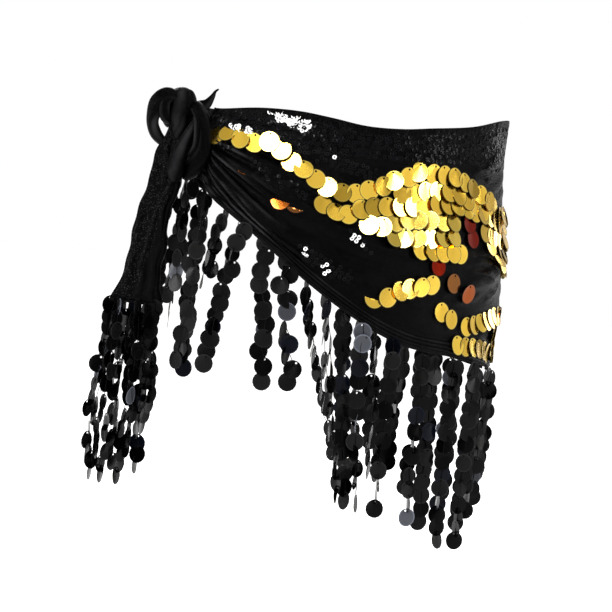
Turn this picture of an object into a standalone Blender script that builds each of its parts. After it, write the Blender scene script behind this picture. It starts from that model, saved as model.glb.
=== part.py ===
"""Belly dance hip scarf, worn: a triangular cloth wound round the hips and knotted at one side.

The wearer faces -Y. The knot is at -X, the triangle's point hangs at +X.
The origin is the middle of the waist, where the hips hold the scarf.
"""

import math
from collections import namedtuple

import bmesh
import bpy
import numpy as np
from mathutils import Matrix, Vector

# Driving dimensions, in metres
MM = 0.001
WAIST_HALF = (157 * MM, 112 * MM)
HIP_HALF = (172 * MM, 125 * MM)
HIP_DROP = 130 * MM
CLOTH = 1.8 * MM
SEAM_GAP = 0.3 * MM
HEM_WIDTH = 11 * MM
HEM_RAISED = 1.0 * MM
WAIST_FOLD = 8 * MM
WAIST_RAISED = 0.6 * MM
WRAP_START = 176
WRAP_END = -176
ALONG_PER_DEGREE = 2.6 * MM

# Paillettes and their strands
PAILLETTE = 20 * MM
STRAND_THICK = 2.0 * MM
STRAND_BROAD = 0.45 * PAILLETTE
STRAND_NARROW = 0.34 * PAILLETTE
STRAND_TIP = 0.24 * PAILLETTE
SWING_CURVE = 1.3
ROOT_WIDE = 3 * MM
ROOT_LONG = 4 * MM
FAN_OUT = 13 * MM
TAPE_TALL = 3.0 * MM
TAPE_THICK = 2.2 * MM
TAPE_DROP = 0.5 * MM
SWING = Vector((math.cos(math.radians(25)), -math.sin(math.radians(25)), 0))

# Resolution of the solids
WRAP_COLUMNS = 104
WRAP_ROWS = 12
TAPE_STEP = 5

# The cutter that seats the knot on the cloth: columns on each side, reach past edges, depth
BLOCK_COLUMNS = 12
BLOCK_PAST = 30 * MM
BLOCK_DEEP = 30 * MM

# Edges of the wrap cloth: the turn round the hips in degrees, 180 at the knot and 90 at the
# front, then the height of the waist edge and of the hem in millimetres.
Edge = namedtuple("Edge", "turn waist hem")
EDGES = [
    Edge(176, 1, -63),
    Edge(168, 1, -72),
    Edge(156, 4, -87),
    Edge(143, 7, -104),
    Edge(130, 8, -126),
    Edge(118, 6, -149),
    Edge(105, 3, -171),
    Edge(92, 5, -189),
    Edge(80, 10, -199),
    Edge(62, 17, -204),
    Edge(40, 28, -211),
    Edge(20, 30, -218),
    Edge(0, 24, -219),
    Edge(-25, 17, -213),
    Edge(-50, 9, -198),
    Edge(-75, 4, -162),
    Edge(-100, 3, -116),
    Edge(-125, 2, -84),
    Edge(-150, 1, -70),
    Edge(-176, 1, -62),
]

# Drape folds, each a soft ridge from one place on the hips to another. Turns are in degrees,
# the rest in millimetres: bow is how far its middle sags, high and wide its section.
Fold = namedtuple("Fold", "turn drop to_turn to_drop bow high wide")
FOLD_RISE = 0.14
FOLD_FADE = 0.55
FOLD_NARROW = 0.7
FOLDS = [
    Fold(172, -6, 118, -20, 3, 3.5, 6),
    Fold(172, -16, 92, -36, -4, 4.5, 7),
    Fold(172, -26, 118, -64, -3, 5.0, 6),
    Fold(172, -36, 98, -108, -5, 6.5, 7),
    Fold(172, -46, 104, -132, 4, 6.0, 6),
    Fold(172, -57, 92, -172, 8, 5.0, 6),
    Fold(116, -90, 66, -120, 9, 4.0, 11),
    Fold(104, -138, 58, -172, 7, 3.5, 11),
    Fold(114, -26, 60, -16, 5, 3.5, 8),
    Fold(60, -26, 22, 6, 3, 4.0, 6),
    Fold(56, -48, 18, -14, 3, 4.0, 6),
    Fold(64, -140, 22, -92, 10, 4.0, 9),
    Fold(50, -186, 10, -130, 10, 3.5, 10),
    Fold(10, -18, -34, -60, 8, 4.0, 10),
    Fold(6, -88, -48, -130, 10, 4.0, 12),
    Fold(-8, -152, -64, -148, 14, 3.5, 12),
    Fold(-168, -12, -100, -22, 2, 4.0, 7),
    Fold(-168, -24, -84, -46, -4, 5.0, 7),
    Fold(-168, -36, -76, -100, -6, 6.0, 7),
    Fold(-168, -48, -92, -104, 5, 4.5, 6),
    Fold(-48, -12, -98, -40, 6, 3.5, 10),
]

# Strands of the front fringe: where each hangs on the hem, its length, how far its tip swings
# along SWING and how far out from the hips, and how far its paillettes turn.
Strand = namedtuple("Strand", "turn length swing out turned")
FRONT_STRANDS = [
    Strand(173, 112, 1, 13, 6),
    Strand(166, 184, 2, 0, -10),
    Strand(160, 168, 0, 15, 8),
    Strand(152, 80, -13, 0, -12),
    Strand(144, 147, -16, 6, 5),
    Strand(135, 142, 21, 1, 10),
    Strand(126, 122, 20, 8, -8),
    Strand(118, 152, 37, 6, 66),
    Strand(111, 195, 34, 13, 74),
    Strand(105, 191, 27, 0, 10),
    Strand(99, 182, 17, 8, -8),
    Strand(93, 142, 11, 0, 55),
    Strand(88, 172, 5, 8, -6),
    Strand(82, 122, -3, 0, 12),
    Strand(76, 171, 4, 8, -10),
    Strand(69, 174, 7, 0, -14),
    Strand(63, 189, 7, 8, -12),
    Strand(57, 142, 2, 0, -16),
    Strand(50, 187, 3, 8, -22),
    Strand(42, 156, 7, 0, -22),
    Strand(34, 133, -4, 8, -20),
    Strand(26, 140, 3, 0, -16),
    Strand(17, 122, -2, 6, -12),
]
# The back fringe repeats the front one across the hips: its turn falls as the front's grows.
BACK_AT = 49
BACK_SPREAD = 1.1
BACK_FIRST = 4
BACK_SHORTER = 0.94
SIDE_STRANDS = [
    Strand(-147, 150, -6, 0, 10),
    Strand(-154, 176, 0, 15, -12),
    Strand(-161, 128, -4, 0, 12),
    Strand(-168, 164, -2, 14, 16),
]

# The knot and the tie end, in millimetres from the knot's own middle: across is along SWING,
# out is away from the hips towards the front, up is up.
KNOT_TURN = 180
KNOT_UP = -30 * MM
KNOT_OUT = 18 * MM
Ring = namedtuple("Ring", "across out up wide thick")
NumberedRing = namedtuple("NumberedRing", ("at",) + Ring._fields)
GATHER = [
    Ring(6, 8, 28, 6, 5),
    Ring(9, 12, 21, 9, 8),
    Ring(14, 15, 8, 10, 9),
    Ring(16, 15, -8, 10, 9),
    Ring(13, 13, -22, 11, 9),
    Ring(7, 9, -34, 9, 7),
    Ring(2, 6, -42, 5, 4),
]
BACK_GATHER = [
    Ring(0, -10, 24, 5, 5),
    Ring(3, -17, 17, 8, 7),
    Ring(5, -22, 4, 9, 8),
    Ring(5, -22, -12, 9, 8),
    Ring(2, -16, -26, 8, 7),
    Ring(-2, -9, -34, 5, 5),
]
CORE = [
    Ring(-10, -2, 44, 7, 6),
    Ring(-10, 0, 39, 13, 12),
    Ring(-11, 1, 29, 16, 14),
    Ring(-10, 2, 18, 16, 14),
    Ring(-8, 3, 4, 14, 12),
    Ring(-8, 4, -8, 12, 9),
    Ring(-8, 4, -16, 7, 5),
]
LOOP = [
    Ring(-16, 9, 36, 5, 5),
    Ring(-25, 9, 36, 8, 6),
    Ring(-33, 8, 29, 8, 7),
    Ring(-36, 6, 18, 7, 7),
    Ring(-36, 4, 8, 6, 6),
    Ring(-32, 3, -1, 6, 5),
    Ring(-26, 3, -7, 5, 5),
    Ring(-20, 3, -10, 4, 4),
]
TAIL = [
    Ring(2, 2, 24, 7, 3),
    Ring(8, 4, 31, 7, 3),
    Ring(14, 5, 38, 5, 2.4),
    Ring(19, 6, 44, 2.6, 1.6),
    Ring(23, 7, 49, 0.8, 0.7),
]
FLUTES = 5
FLUTE_DEPTH = 0.10
FLUTE_TWIST = 0.6
RING_STEP = 0.05

# Tie end: the edges of the folded cloth at each height, and the depth of its fold and pleats.
Level = namedtuple("Level", "up left right deep pleat")
TIE_LEVELS = [
    Level(-4, -23, -5, 7, 0.8),
    Level(-22, -29, -2, 8, 1.4),
    Level(-42, -32, -2, 9, 2.0),
    Level(-60, -35, -5, 8, 2.0),
    Level(-80, -38, -8, 8, 2.0),
    Level(-104, -42, -8, 8, 2.2),
    Level(-128, -43, -9, 9, 2.4),
    Level(-148, -46, -7, 10, 2.2),
    Level(-164, -55, -5, 11, 2.0),
]
TIE_PLEATS = 3
TIE_COLUMNS = 26
TIE_ROWS = 11
TIE_OUT = 4
# Shares of the section: its front layer, then its round fold, and the rest lies behind. The fold
# takes TIE_ROUND of the width, the layer behind TIE_BACK_WIDE.
TIE_FRONT_SHARE = 0.62
TIE_ROUND_SHARE = 0.14
TIE_ROUND = 0.10
TIE_BACK_WIDE = 0.72
TIE_NEAR = 0.75
TIE_CALM = 0.2
TIE_TWIST = 0.012
TIE_STRANDS = [
    Strand(0.03, 118, -11, -5, 8),
    Strand(0.12, 160, -9, 4, -8),
    Strand(0.21, 176, -6, 13, 8),
    Strand(0.30, 181, -2, -14, -8),
    Strand(0.39, 166, 2, -5, 6),
    Strand(0.49, 178, 7, 3, 0),
    Strand(0.61, 150, 9, 13, 0),
    Strand(0.69, 168, 13, -14, -6),
    Strand(0.79, 128, 12, -5, 8),
    Strand(0.92, 106, 12, 5, 8),
]

# Colours: black stretch cloth, plain black paillette strands, smooth satin side in the knot
BLACK_CLOTH = ("black_cloth", (0.012, 0.012, 0.013), 0.55, 0.0)
BLACK_SATIN = ("black_satin", (0.018, 0.018, 0.02), 0.38, 0.0)
BLACK_PAILLETTE = ("black_paillette", (0.03, 0.03, 0.032), 0.32, 0.0)


def clear_scene():
    for obj in list(bpy.data.objects):
        bpy.data.objects.remove(obj)


def make_material(name, colour, roughness, metallic):
    material = bpy.data.materials.get(name) or bpy.data.materials.new(name)
    material.use_nodes = True
    shader = material.node_tree.nodes["Principled BSDF"]
    shader.inputs["Base Color"].default_value = (*colour, 1)
    shader.inputs["Roughness"].default_value = roughness
    shader.inputs["Metallic"].default_value = metallic
    return material


def table_value(rows, key, name, at):
    """A named column of a table, read along another column as a smooth curve."""
    keys = [getattr(row, key) for row in rows]
    values = [getattr(row, name) for row in rows]
    if keys[0] > keys[-1]:
        keys, values = keys[::-1], values[::-1]
    at = min(max(at, keys[0]), keys[-1])
    i = min(max(int(np.searchsorted(keys, at, side="right")) - 1, 0), len(keys) - 2)
    slopes = []
    for k in (i, i + 1):
        before, after = max(k - 1, 0), min(k + 1, len(keys) - 1)
        slopes.append((values[after] - values[before]) / (keys[after] - keys[before]))
    span = keys[i + 1] - keys[i]
    u = (at - keys[i]) / span
    start = (2 * u**3 - 3 * u**2 + 1) * values[i] + (u**3 - 2 * u**2 + u) * span * slopes[0]
    end = (3 * u**2 - 2 * u**3) * values[i + 1] + (u**3 - u**2) * span * slopes[1]
    return start + end


def waist_height(turn):
    return table_value(EDGES, "turn", "waist", turn) * MM


def hem_height(turn):
    return table_value(EDGES, "turn", "hem", turn) * MM


def eased(share):
    share = min(max(share, 0), 1)
    return share * share * (3 - 2 * share)


def hip_point(turn, height, out=0.0):
    """A point on the general hip form, moved out from it."""
    share = eased(-height / HIP_DROP)
    half_x = WAIST_HALF[0] + (HIP_HALF[0] - WAIST_HALF[0]) * share
    half_y = WAIST_HALF[1] + (HIP_HALF[1] - WAIST_HALF[1]) * share
    angle = math.radians(turn)
    normal = Vector((math.cos(angle) / half_x, -math.sin(angle) / half_y, 0)).normalized()
    return Vector((half_x * math.cos(angle), -half_y * math.sin(angle), height)) + normal * out


def fold_height(turn, height):
    """How far the drape folds lift the cloth from the hips."""
    total = 0.0
    for fold in FOLDS:
        run = (fold.turn - fold.to_turn) * ALONG_PER_DEGREE
        fall = (fold.to_drop - fold.drop) * MM
        length = math.hypot(run, fall)
        along = (fold.turn - turn) * ALONG_PER_DEGREE
        down = height - fold.drop * MM
        share = (along * run + down * fall) / length**2
        if not 0 < share < 1:
            continue
        aside = (down * run - along * fall) / length + fold.bow * MM * 4 * share * (1 - share)
        ends = eased(share / FOLD_RISE) * eased((1 - share) / FOLD_FADE)
        wide = fold.wide * MM * (FOLD_NARROW + (1 - FOLD_NARROW) * 2 * share)
        total += fold.high * MM * ends * math.exp(-((aside / wide) ** 2))
    return total


def cloth_point(turn, height, out=0.0):
    return hip_point(turn, height, out + fold_height(turn, height))


def finish_mesh(bm, name, finish, angle=50):
    bmesh.ops.recalc_face_normals(bm, faces=bm.faces)
    mesh = bpy.data.meshes.new(name)
    bm.to_mesh(mesh)
    bm.free()
    mesh.shade_smooth()
    mesh.set_sharp_from_angle(angle=math.radians(angle))
    mesh.materials.append(make_material(*finish))
    obj = bpy.data.objects.new(name, mesh)
    bpy.context.scene.collection.objects.link(obj)
    return obj


def make_wall(name, outer, inner, finish):
    """A closed wall from its outer and inner grids of points, with rims between their edges."""
    bm = bmesh.new()
    faces = [[[bm.verts.new(p) for p in row] for row in grid] for grid in (outer, inner)]
    columns, rows = len(outer), len(outer[0])
    for side in faces:
        for i in range(columns - 1):
            for j in range(rows - 1):
                bm.faces.new((side[i][j], side[i + 1][j], side[i + 1][j + 1], side[i][j + 1]))
    front, back = faces
    for i in range(columns - 1):
        for j in (0, rows - 1):
            bm.faces.new((front[i][j], front[i + 1][j], back[i + 1][j], back[i][j]))
    for j in range(rows - 1):
        for i in (0, columns - 1):
            bm.faces.new((front[i][j], front[i][j + 1], back[i][j + 1], back[i][j]))
    return finish_mesh(bm, name, finish)


def wrap_heights(turn):
    """The wall's rows at a turn, from waist to hem, and how far each is raised."""
    waist, hem = waist_height(turn), hem_height(turn)
    heights = [(waist, WAIST_RAISED), (waist - WAIST_FOLD, WAIST_RAISED)]
    top, bottom = waist - WAIST_FOLD - MM, hem + HEM_WIDTH + MM
    for j in range(WRAP_ROWS):
        heights.append((top + (bottom - top) * j / (WRAP_ROWS - 1), 0.0))
    return heights + [(hem + HEM_WIDTH, HEM_RAISED), (hem, HEM_RAISED)]


def make_wrap():
    """The wrap cloth: one wall round the hips, open at the knot, thicker at its hem and waist."""
    outer, inner = [], []
    for i in range(WRAP_COLUMNS + 1):
        turn = WRAP_START + (WRAP_END - WRAP_START) * i / WRAP_COLUMNS
        heights = wrap_heights(turn)
        outer.append([cloth_point(turn, z, CLOTH + raised) for z, raised in heights])
        inner.append([cloth_point(turn, z) for z, raised in heights])
    return make_wall("wrap_cloth", outer, inner, BLACK_CLOTH)


def strand_rings(root, strand, out):
    """The four-cornered rings of a strand of flat paillettes, from its root ring down."""
    wide = Vector((0, 0, 1)).cross(out)
    if wide.dot(root[2] - root[1]) < 0:
        wide.negate()
    middle = sum(root, Vector()) / 4
    turned = Matrix.Rotation(math.radians(strand.turned), 3, "Z")
    drop = math.sqrt(strand.length**2 - strand.swing**2) * MM
    pairs = max(2, round(drop / (2.0 * PAILLETTE)))
    first = FAN_OUT / drop
    rows = 2 * pairs + 1
    shares = [ROOT_LONG / drop] + [first + (1 - first) * i / (rows - 1) for i in range(rows)]
    rings = []
    for i, share in enumerate(shares):
        broad = STRAND_BROAD if i % 2 else STRAND_NARROW
        if i == 0:
            broad = ROOT_WIDE / 2
        if i == rows:
            broad = STRAND_TIP
        swing = SWING * strand.swing * MM * share**SWING_CURVE
        away = out * strand.out * MM * min(1, drop * share / FAN_OUT)
        centre = middle + swing + away + Vector((0, 0, -drop * share))
        across, thick = turned @ wide * broad, turned @ out * STRAND_THICK / 2
        rings.append([centre - across - thick, centre - across + thick,
                      centre + across + thick, centre + across - thick])
    return rings


def make_fringe(name, path, strands, finish):
    """A tape along a path, with strands extruded from its underside. Path gives, for a place
    along the tape, the middle of its top edge and its outward direction."""
    places = []
    for strand in strands:
        here, there = path(strand.turn), path(strand.turn + path.small)
        per_unit = (there[0] - here[0]).length / path.small
        half = ROOT_WIDE / 2 / per_unit
        places += [(strand.turn - half, None), (strand.turn + half, strand)]
    taken = [place for place, strand in places]
    free = [path.low + (path.high - path.low) * i / path.steps for i in range(path.steps + 1)]
    free = [(p, None) for p in free if min(abs(p - t) for t in taken) > path.clear]
    stations = sorted(places + free, key=lambda place: place[0])
    bm = bmesh.new()
    rings = []
    for place, strand in stations:
        top, out = path(place)
        corners = [top - out * TAPE_THICK / 2, top + out * TAPE_THICK / 2]
        corners += [corner - Vector((0, 0, TAPE_TALL)) for corner in corners[::-1]]
        rings.append([bm.verts.new(corner) for corner in corners])
    for ring, after, (place, strand) in zip(rings, rings[1:], stations[1:]):
        for k in (0, 1, 3):
            bm.faces.new((ring[k], ring[(k + 1) % 4], after[(k + 1) % 4], after[k]))
        inner_low, outer_low = (ring[3], after[3]), (ring[2], after[2])
        root = [inner_low[0], outer_low[0], outer_low[1], inner_low[1]]
        if strand is None:
            bm.faces.new(root)
            continue
        for corners in strand_rings([v.co for v in root], strand, path(strand.turn)[1]):
            below = [bm.verts.new(corner) for corner in corners]
            for k in range(4):
                bm.faces.new((root[k], root[(k + 1) % 4], below[(k + 1) % 4], below[k]))
            root = below
        bm.faces.new(root)
    bm.faces.new(rings[0])
    bm.faces.new(rings[-1])
    return finish_mesh(bm, name, finish)


class HemPath:
    """The tape's way along the hem, by turn in degrees."""

    small = 0.1
    clear = 1.3

    def __init__(self, low, high):
        self.low, self.high = low, high
        self.steps = round((high - low) / TAPE_STEP)

    def __call__(self, turn):
        height = hem_height(turn)
        middle = (CLOTH + HEM_RAISED) / 2
        point = cloth_point(turn, height, middle)
        outside = hip_point(turn, height, 1.0) - hip_point(turn, height)
        point.z -= TAPE_DROP
        return point, outside.normalized()


def back_strands():
    found = list(SIDE_STRANDS)
    for strand in FRONT_STRANDS:
        turn = BACK_AT - BACK_SPREAD * strand.turn
        if turn < BACK_FIRST:
            found.append(strand._replace(turn=turn, length=strand.length * BACK_SHORTER,
                                         turned=-strand.turned))
    return found


KNOT_MIDDLE = hip_point(KNOT_TURN, KNOT_UP, KNOT_OUT)
KNOT_FRONT = Vector((SWING.y, -SWING.x, 0))


def knot_point(across, out, up):
    return KNOT_MIDDLE + SWING * across * MM + KNOT_FRONT * out * MM + Vector((0, 0, up * MM))


def make_roll(name, rings, sides, steps, finish, phase=0.0):
    """A rolled, fluted length of cloth through the rings of a table."""
    stations = [i / steps * (len(rings) - 1) for i in range(steps + 1)]
    numbered = [NumberedRing(i, *ring) for i, ring in enumerate(rings)]

    def read(at):
        return Ring(*(table_value(numbered, "at", field, at) for field in Ring._fields))

    bm = bmesh.new()
    loops = []
    for at in stations:
        ring, before, after = read(at), read(at - RING_STEP), read(at + RING_STEP)
        run = knot_point(*after[:3]) - knot_point(*before[:3])
        side = run.cross(KNOT_FRONT).normalized()
        front = side.cross(run).normalized()
        centre = knot_point(*ring[:3])
        loop = []
        for k in range(sides):
            angle = 2 * math.pi * k / sides
            flute = 1 + FLUTE_DEPTH * math.sin(FLUTES * angle + phase + FLUTE_TWIST * at)
            loop.append(bm.verts.new(
                centre + side * ring.wide * MM * flute * math.cos(angle)
                + front * ring.thick * MM * flute * math.sin(angle)))
        loops.append(loop)
    for loop, after in zip(loops, loops[1:]):
        for k in range(sides):
            bm.faces.new((loop[k], loop[(k + 1) % sides], after[(k + 1) % sides], after[k]))
    bm.faces.new(loops[0])
    bm.faces.new(loops[-1])
    return finish_mesh(bm, name, finish)


def tie_point(share, up, lift=0.0):
    """A point on the folded tie end: share runs from the front's left edge, round the fold at
    its right, to the end of the layer behind."""
    left, right, deep, pleat = (table_value(TIE_LEVELS, "up", column, up)
                                for column in ("left", "right", "deep", "pleat"))
    front, behind = TIE_FRONT_SHARE, TIE_FRONT_SHARE + TIE_ROUND_SHARE
    wide = right - left
    wave = pleat * math.sin(TIE_PLEATS * 2 * math.pi * share / front + up * TIE_TWIST)
    if share < front:
        u = share / front
        across = left + wide * (u - TIE_ROUND * u**6)
        out = deep / 2 * (1 - (1 - TIE_NEAR) * u**8)
        facing = Vector((0, 1))
    elif share < behind:
        angle = math.pi * (share - front) / TIE_ROUND_SHARE
        across = right - TIE_ROUND * wide * (1 - math.sin(angle))
        out = deep / 2 * TIE_NEAR * math.cos(angle)
        facing = Vector((math.sin(angle), math.cos(angle)))
        wave *= TIE_CALM
    else:
        u = (share - behind) / (1 - behind)
        across = right - (TIE_ROUND + TIE_BACK_WIDE * u) * wide
        out = -deep / 2 * TIE_NEAR
        facing = Vector((0, -1))
        wave *= TIE_CALM
    across += facing.x * lift / MM
    out += TIE_OUT + facing.y * (wave + lift / MM)
    return knot_point(across, out, up)


def make_tie_end():
    outer, inner = [], []
    top, bottom = TIE_LEVELS[0].up, TIE_LEVELS[-1].up
    for i in range(TIE_COLUMNS + 1):
        share = i / TIE_COLUMNS
        ups = [top + (bottom - top) * j / TIE_ROWS for j in range(TIE_ROWS + 1)]
        outer.append([tie_point(share, up, CLOTH / 2) for up in ups])
        inner.append([tie_point(share, up, -CLOTH / 2) for up in ups])
    return make_wall("tie_end", outer, inner, BLACK_CLOTH)


class TiePath:
    """The tape's way along the tie end's lower edge, from its left to its right."""

    small = 0.002
    clear = 0.02
    low, high, steps = 0.0, 1.0, 12

    def __call__(self, share):
        point = tie_point(share * TIE_FRONT_SHARE, TIE_LEVELS[-1].up)
        point.z -= TAPE_DROP
        return point, KNOT_FRONT


def make_hip_block():
    """A cutter that holds the cloth by the knot and the space behind it, for the knot's seats."""
    step = (WRAP_START - WRAP_END) / WRAP_COLUMNS
    turns = [WRAP_END + step * k for k in range(BLOCK_COLUMNS, -1, -1)]
    turns += [WRAP_START - step * k for k in range(BLOCK_COLUMNS + 1)]
    outer, inner = [], []
    for turn in turns:
        heights = wrap_heights(turn)
        heights = [(heights[0][0] + BLOCK_PAST, WAIST_RAISED)] + heights
        heights.append((heights[-1][0] - BLOCK_PAST, HEM_RAISED))
        outer.append([cloth_point(turn, z, CLOTH + raised + SEAM_GAP) for z, raised in heights])
        inner.append([cloth_point(turn, z, -BLOCK_DEEP) for z, raised in heights])
    return hide_cutter(make_wall("hip_block_cutter", outer, inner, BLACK_CLOTH))


def hide_cutter(cutter):
    cutter.hide_render = True
    cutter.display_type = "WIRE"
    return cutter


def grown_copy(obj, by):
    """A cutter: the piece grown by the seam gap along its normals."""
    mesh = obj.data.copy()
    bm = bmesh.new()
    bm.from_mesh(mesh)
    bm.normal_update()
    for vert in bm.verts:
        vert.co += vert.normal * by
    bm.to_mesh(mesh)
    bm.free()
    cutter = bpy.data.objects.new(obj.name + "_cutter", mesh)
    bpy.context.scene.collection.objects.link(cutter)
    return hide_cutter(cutter)


def cut_clear(piece, *others):
    """Cuts a piece back to the seam gap from the pieces that it is seated on."""
    for other in others:
        modifier = piece.modifiers.new("clear_of_" + other.name, "BOOLEAN")
        modifier.operation = "DIFFERENCE"
        modifier.solver = "EXACT"
        modifier.use_self = True
        modifier.object = other


def main():
    clear_scene()
    make_wrap()
    make_fringe("fringe_front", HemPath(10, 175), FRONT_STRANDS, BLACK_PAILLETTE)
    make_fringe("fringe_back", HemPath(-175, 6), back_strands(), BLACK_PAILLETTE)
    make_fringe("fringe_tie", TiePath(), TIE_STRANDS, BLACK_PAILLETTE)
    tie = make_tie_end()
    rolls = [
        make_roll("knot_gather", GATHER, 14, 14, BLACK_SATIN),
        make_roll("knot_back_gather", BACK_GATHER, 12, 10, BLACK_SATIN, 1.5),
        make_roll("knot_core", CORE, 16, 14, BLACK_SATIN, 1.0),
        make_roll("knot_loop", LOOP, 12, 18, BLACK_SATIN, 2.0),
        make_roll("knot_tail", TAIL, 10, 8, BLACK_SATIN, 0.5),
    ]
    cutters = [make_hip_block()]
    for roll in rolls:
        cut_clear(roll, *cutters)
        cutters.append(grown_copy(roll, SEAM_GAP))
    cut_clear(tie, *cutters)


main()
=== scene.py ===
"""Belly dance hip scarf, worn: black stretch cloth knotted at one side, with gold paillettes
sewn on in rows and a fringe of black paillettes along its hems.

The wearer faces -Y, the knot is at -X and the triangle's point hangs at +X. Turns are degrees
round the hips: 180 at the knot, 90 at the front, 0 at the point, and below 0 at the back.
"""

import math
import random
from collections import namedtuple

import bpy
import numpy as np
from mathutils import Matrix, Vector


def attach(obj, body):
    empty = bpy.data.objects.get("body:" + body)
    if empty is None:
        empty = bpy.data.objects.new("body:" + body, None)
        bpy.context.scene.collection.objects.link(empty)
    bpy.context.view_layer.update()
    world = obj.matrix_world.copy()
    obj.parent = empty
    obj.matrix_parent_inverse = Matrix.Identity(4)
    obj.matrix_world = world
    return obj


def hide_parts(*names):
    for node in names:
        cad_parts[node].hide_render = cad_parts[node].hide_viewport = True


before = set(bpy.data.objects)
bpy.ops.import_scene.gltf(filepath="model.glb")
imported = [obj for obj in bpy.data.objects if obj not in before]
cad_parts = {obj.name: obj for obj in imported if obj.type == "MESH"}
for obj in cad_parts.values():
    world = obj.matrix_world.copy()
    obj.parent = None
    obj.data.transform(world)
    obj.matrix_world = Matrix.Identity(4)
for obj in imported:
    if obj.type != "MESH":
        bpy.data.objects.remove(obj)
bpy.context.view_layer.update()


# Studio: the camera stands a little to the scarf's left, as high as the hips, and leans over.
# A large soft box near it makes the paillettes flash, and the ground is a plain pale floor.
CAMERA_TURN = -25
CAMERA_RISE = 3
CAMERA_ROLL = math.radians(8)
CAMERA_AWAY = 2.6
CAMERA_HEIGHT = -0.181
CAMERA_ASIDE = -0.025
LENS = 152.94
FLOOR_HEIGHT = -0.56
FLOOR_REACH = 9.0


def way_to(turn, rise):
    """The direction from the scarf to what stands turn degrees aside of its front, and above."""
    turn, rise = math.radians(turn), math.radians(rise)
    return Vector((math.sin(turn) * math.cos(rise), -math.cos(turn) * math.cos(rise), math.sin(rise)))


toward_camera = way_to(CAMERA_TURN, CAMERA_RISE)
camera_right = way_to(CAMERA_TURN + 90, 0)
camera_up = toward_camera.cross(camera_right)
looked_at = Vector((0, 0, CAMERA_HEIGHT)) + camera_right * CAMERA_ASIDE
rolled_right = camera_right * math.cos(CAMERA_ROLL) + camera_up * math.sin(CAMERA_ROLL)
rolled_up = camera_up * math.cos(CAMERA_ROLL) - camera_right * math.sin(CAMERA_ROLL)
bpy.ops.object.select_all(action="DESELECT")
bpy.ops.object.camera_add()
camera = bpy.context.object
camera.name = "camera"
camera.data.lens = LENS
camera.data.sensor_width = 36
camera.data.clip_end = 60
axes = Matrix((rolled_right, rolled_up, toward_camera)).transposed().to_4x4()
camera.matrix_world = Matrix.Translation(looked_at + toward_camera * CAMERA_AWAY) @ axes
bpy.context.scene.camera = camera
bpy.context.scene.view_settings.view_transform = "Standard"


def add_soft_box(name, turn, rise, away, size, power):
    """An area light round the scarf, aimed at its middle. Turn and rise are in degrees."""
    place = way_to(turn, rise) * away + Vector((0, 0, CAMERA_HEIGHT))
    bpy.ops.object.light_add(type="AREA", location=place)
    light = bpy.context.object
    light.name = name
    light.data.shape = "RECTANGLE"
    light.data.size, light.data.size_y = size
    light.data.energy = power
    aim = Vector((0, 0, CAMERA_HEIGHT)) - place
    light.rotation_euler = aim.to_track_quat("-Z", "Y").to_euler()


KEY_WAY = (-42, 24)
key_side = way_to(*KEY_WAY)
add_soft_box("key_box", *KEY_WAY, 3.0, (0.45, 0.45), 38)
add_soft_box("right_box", 48, 18, 3.0, (0.5, 1.4), 34)
add_soft_box("top_box", 10, 80, 2.6, (1.4, 1.4), 30)
add_soft_box("back_box", 165, 35, 3.0, (1.6, 1.2), 60)
add_soft_box("left_rim_box", -105, 12, 2.6, (0.3, 1.2), 34)
add_soft_box("right_rim_box", 112, 14, 2.6, (0.3, 1.2), 7)


def set_inputs(tree, node, inputs):
    """Gives each named input of a node a value, or links the socket that feeds it."""
    for name, value in inputs.items():
        if isinstance(value, bpy.types.NodeSocket):
            tree.links.new(value, node.inputs[name])
        else:
            node.inputs[name].default_value = value


def add_node(tree, kind, inputs=None, **settings):
    """A shader node with the given settings and inputs."""
    node = tree.nodes.new("ShaderNode" + kind)
    for name, value in settings.items():
        setattr(node, name, value)
    set_inputs(tree, node, inputs or {})
    return node


def add_ramp(tree, factor, low, high, low_colour, high_colour):
    """The colour socket of a ramp between two places and their colours."""
    ramp = add_node(tree, "ValToRGB", {"Fac": factor})
    low_end, high_end = ramp.color_ramp.elements
    low_end.position, high_end.position = low, high
    low_end.color, high_end.color = (*low_colour, 1), (*high_colour, 1)
    return ramp.outputs["Color"]


def new_material(name, looks):
    """A material, its node tree and its shader, which has the given looks."""
    material = bpy.data.materials.new(name)
    material.use_nodes = True
    shader = material.node_tree.nodes["Principled BSDF"]
    set_inputs(material.node_tree, shader, looks)
    return material, material.node_tree, shader


WHITE = (1, 1, 1, 1)
world = bpy.data.worlds.new("studio")
bpy.context.scene.world = world
world.use_nodes = True
tree = world.node_tree
backdrop = tree.nodes["Background"]
set_inputs(tree, backdrop, {"Color": WHITE, "Strength": 1.0})
clouds = add_node(tree, "TexNoise", {"Vector": add_node(tree, "TexCoord").outputs["Generated"],
                                     "Scale": 2.6, "Detail": 1.5})
shades = add_ramp(tree, clouds.outputs["Fac"], 0.44, 0.55, (0.55, 0.53, 0.50), (1, 1, 1))
reflected = add_node(tree, "Background", {"Color": shades, "Strength": 0.80})
seen = add_node(tree, "LightPath").outputs["Is Camera Ray"]
either = add_node(tree, "MixShader", {"Fac": seen, 1: reflected.outputs["Background"],
                                      2: backdrop.outputs["Background"]})
set_inputs(tree, tree.nodes["World Output"], {"Surface": either.outputs["Shader"]})

bpy.ops.mesh.primitive_circle_add(vertices=96, radius=FLOOR_REACH, fill_type="NGON",
                                  location=(0, 0, FLOOR_HEIGHT))
floor = bpy.context.object
floor.name = "studio_floor"
floor.data.materials.append(new_material("pale_floor", {
    "Base Color": (0.86, 0.86, 0.86, 1), "Roughness": 0.9,
    "Emission Color": WHITE, "Emission Strength": 0.62})[0])


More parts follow.
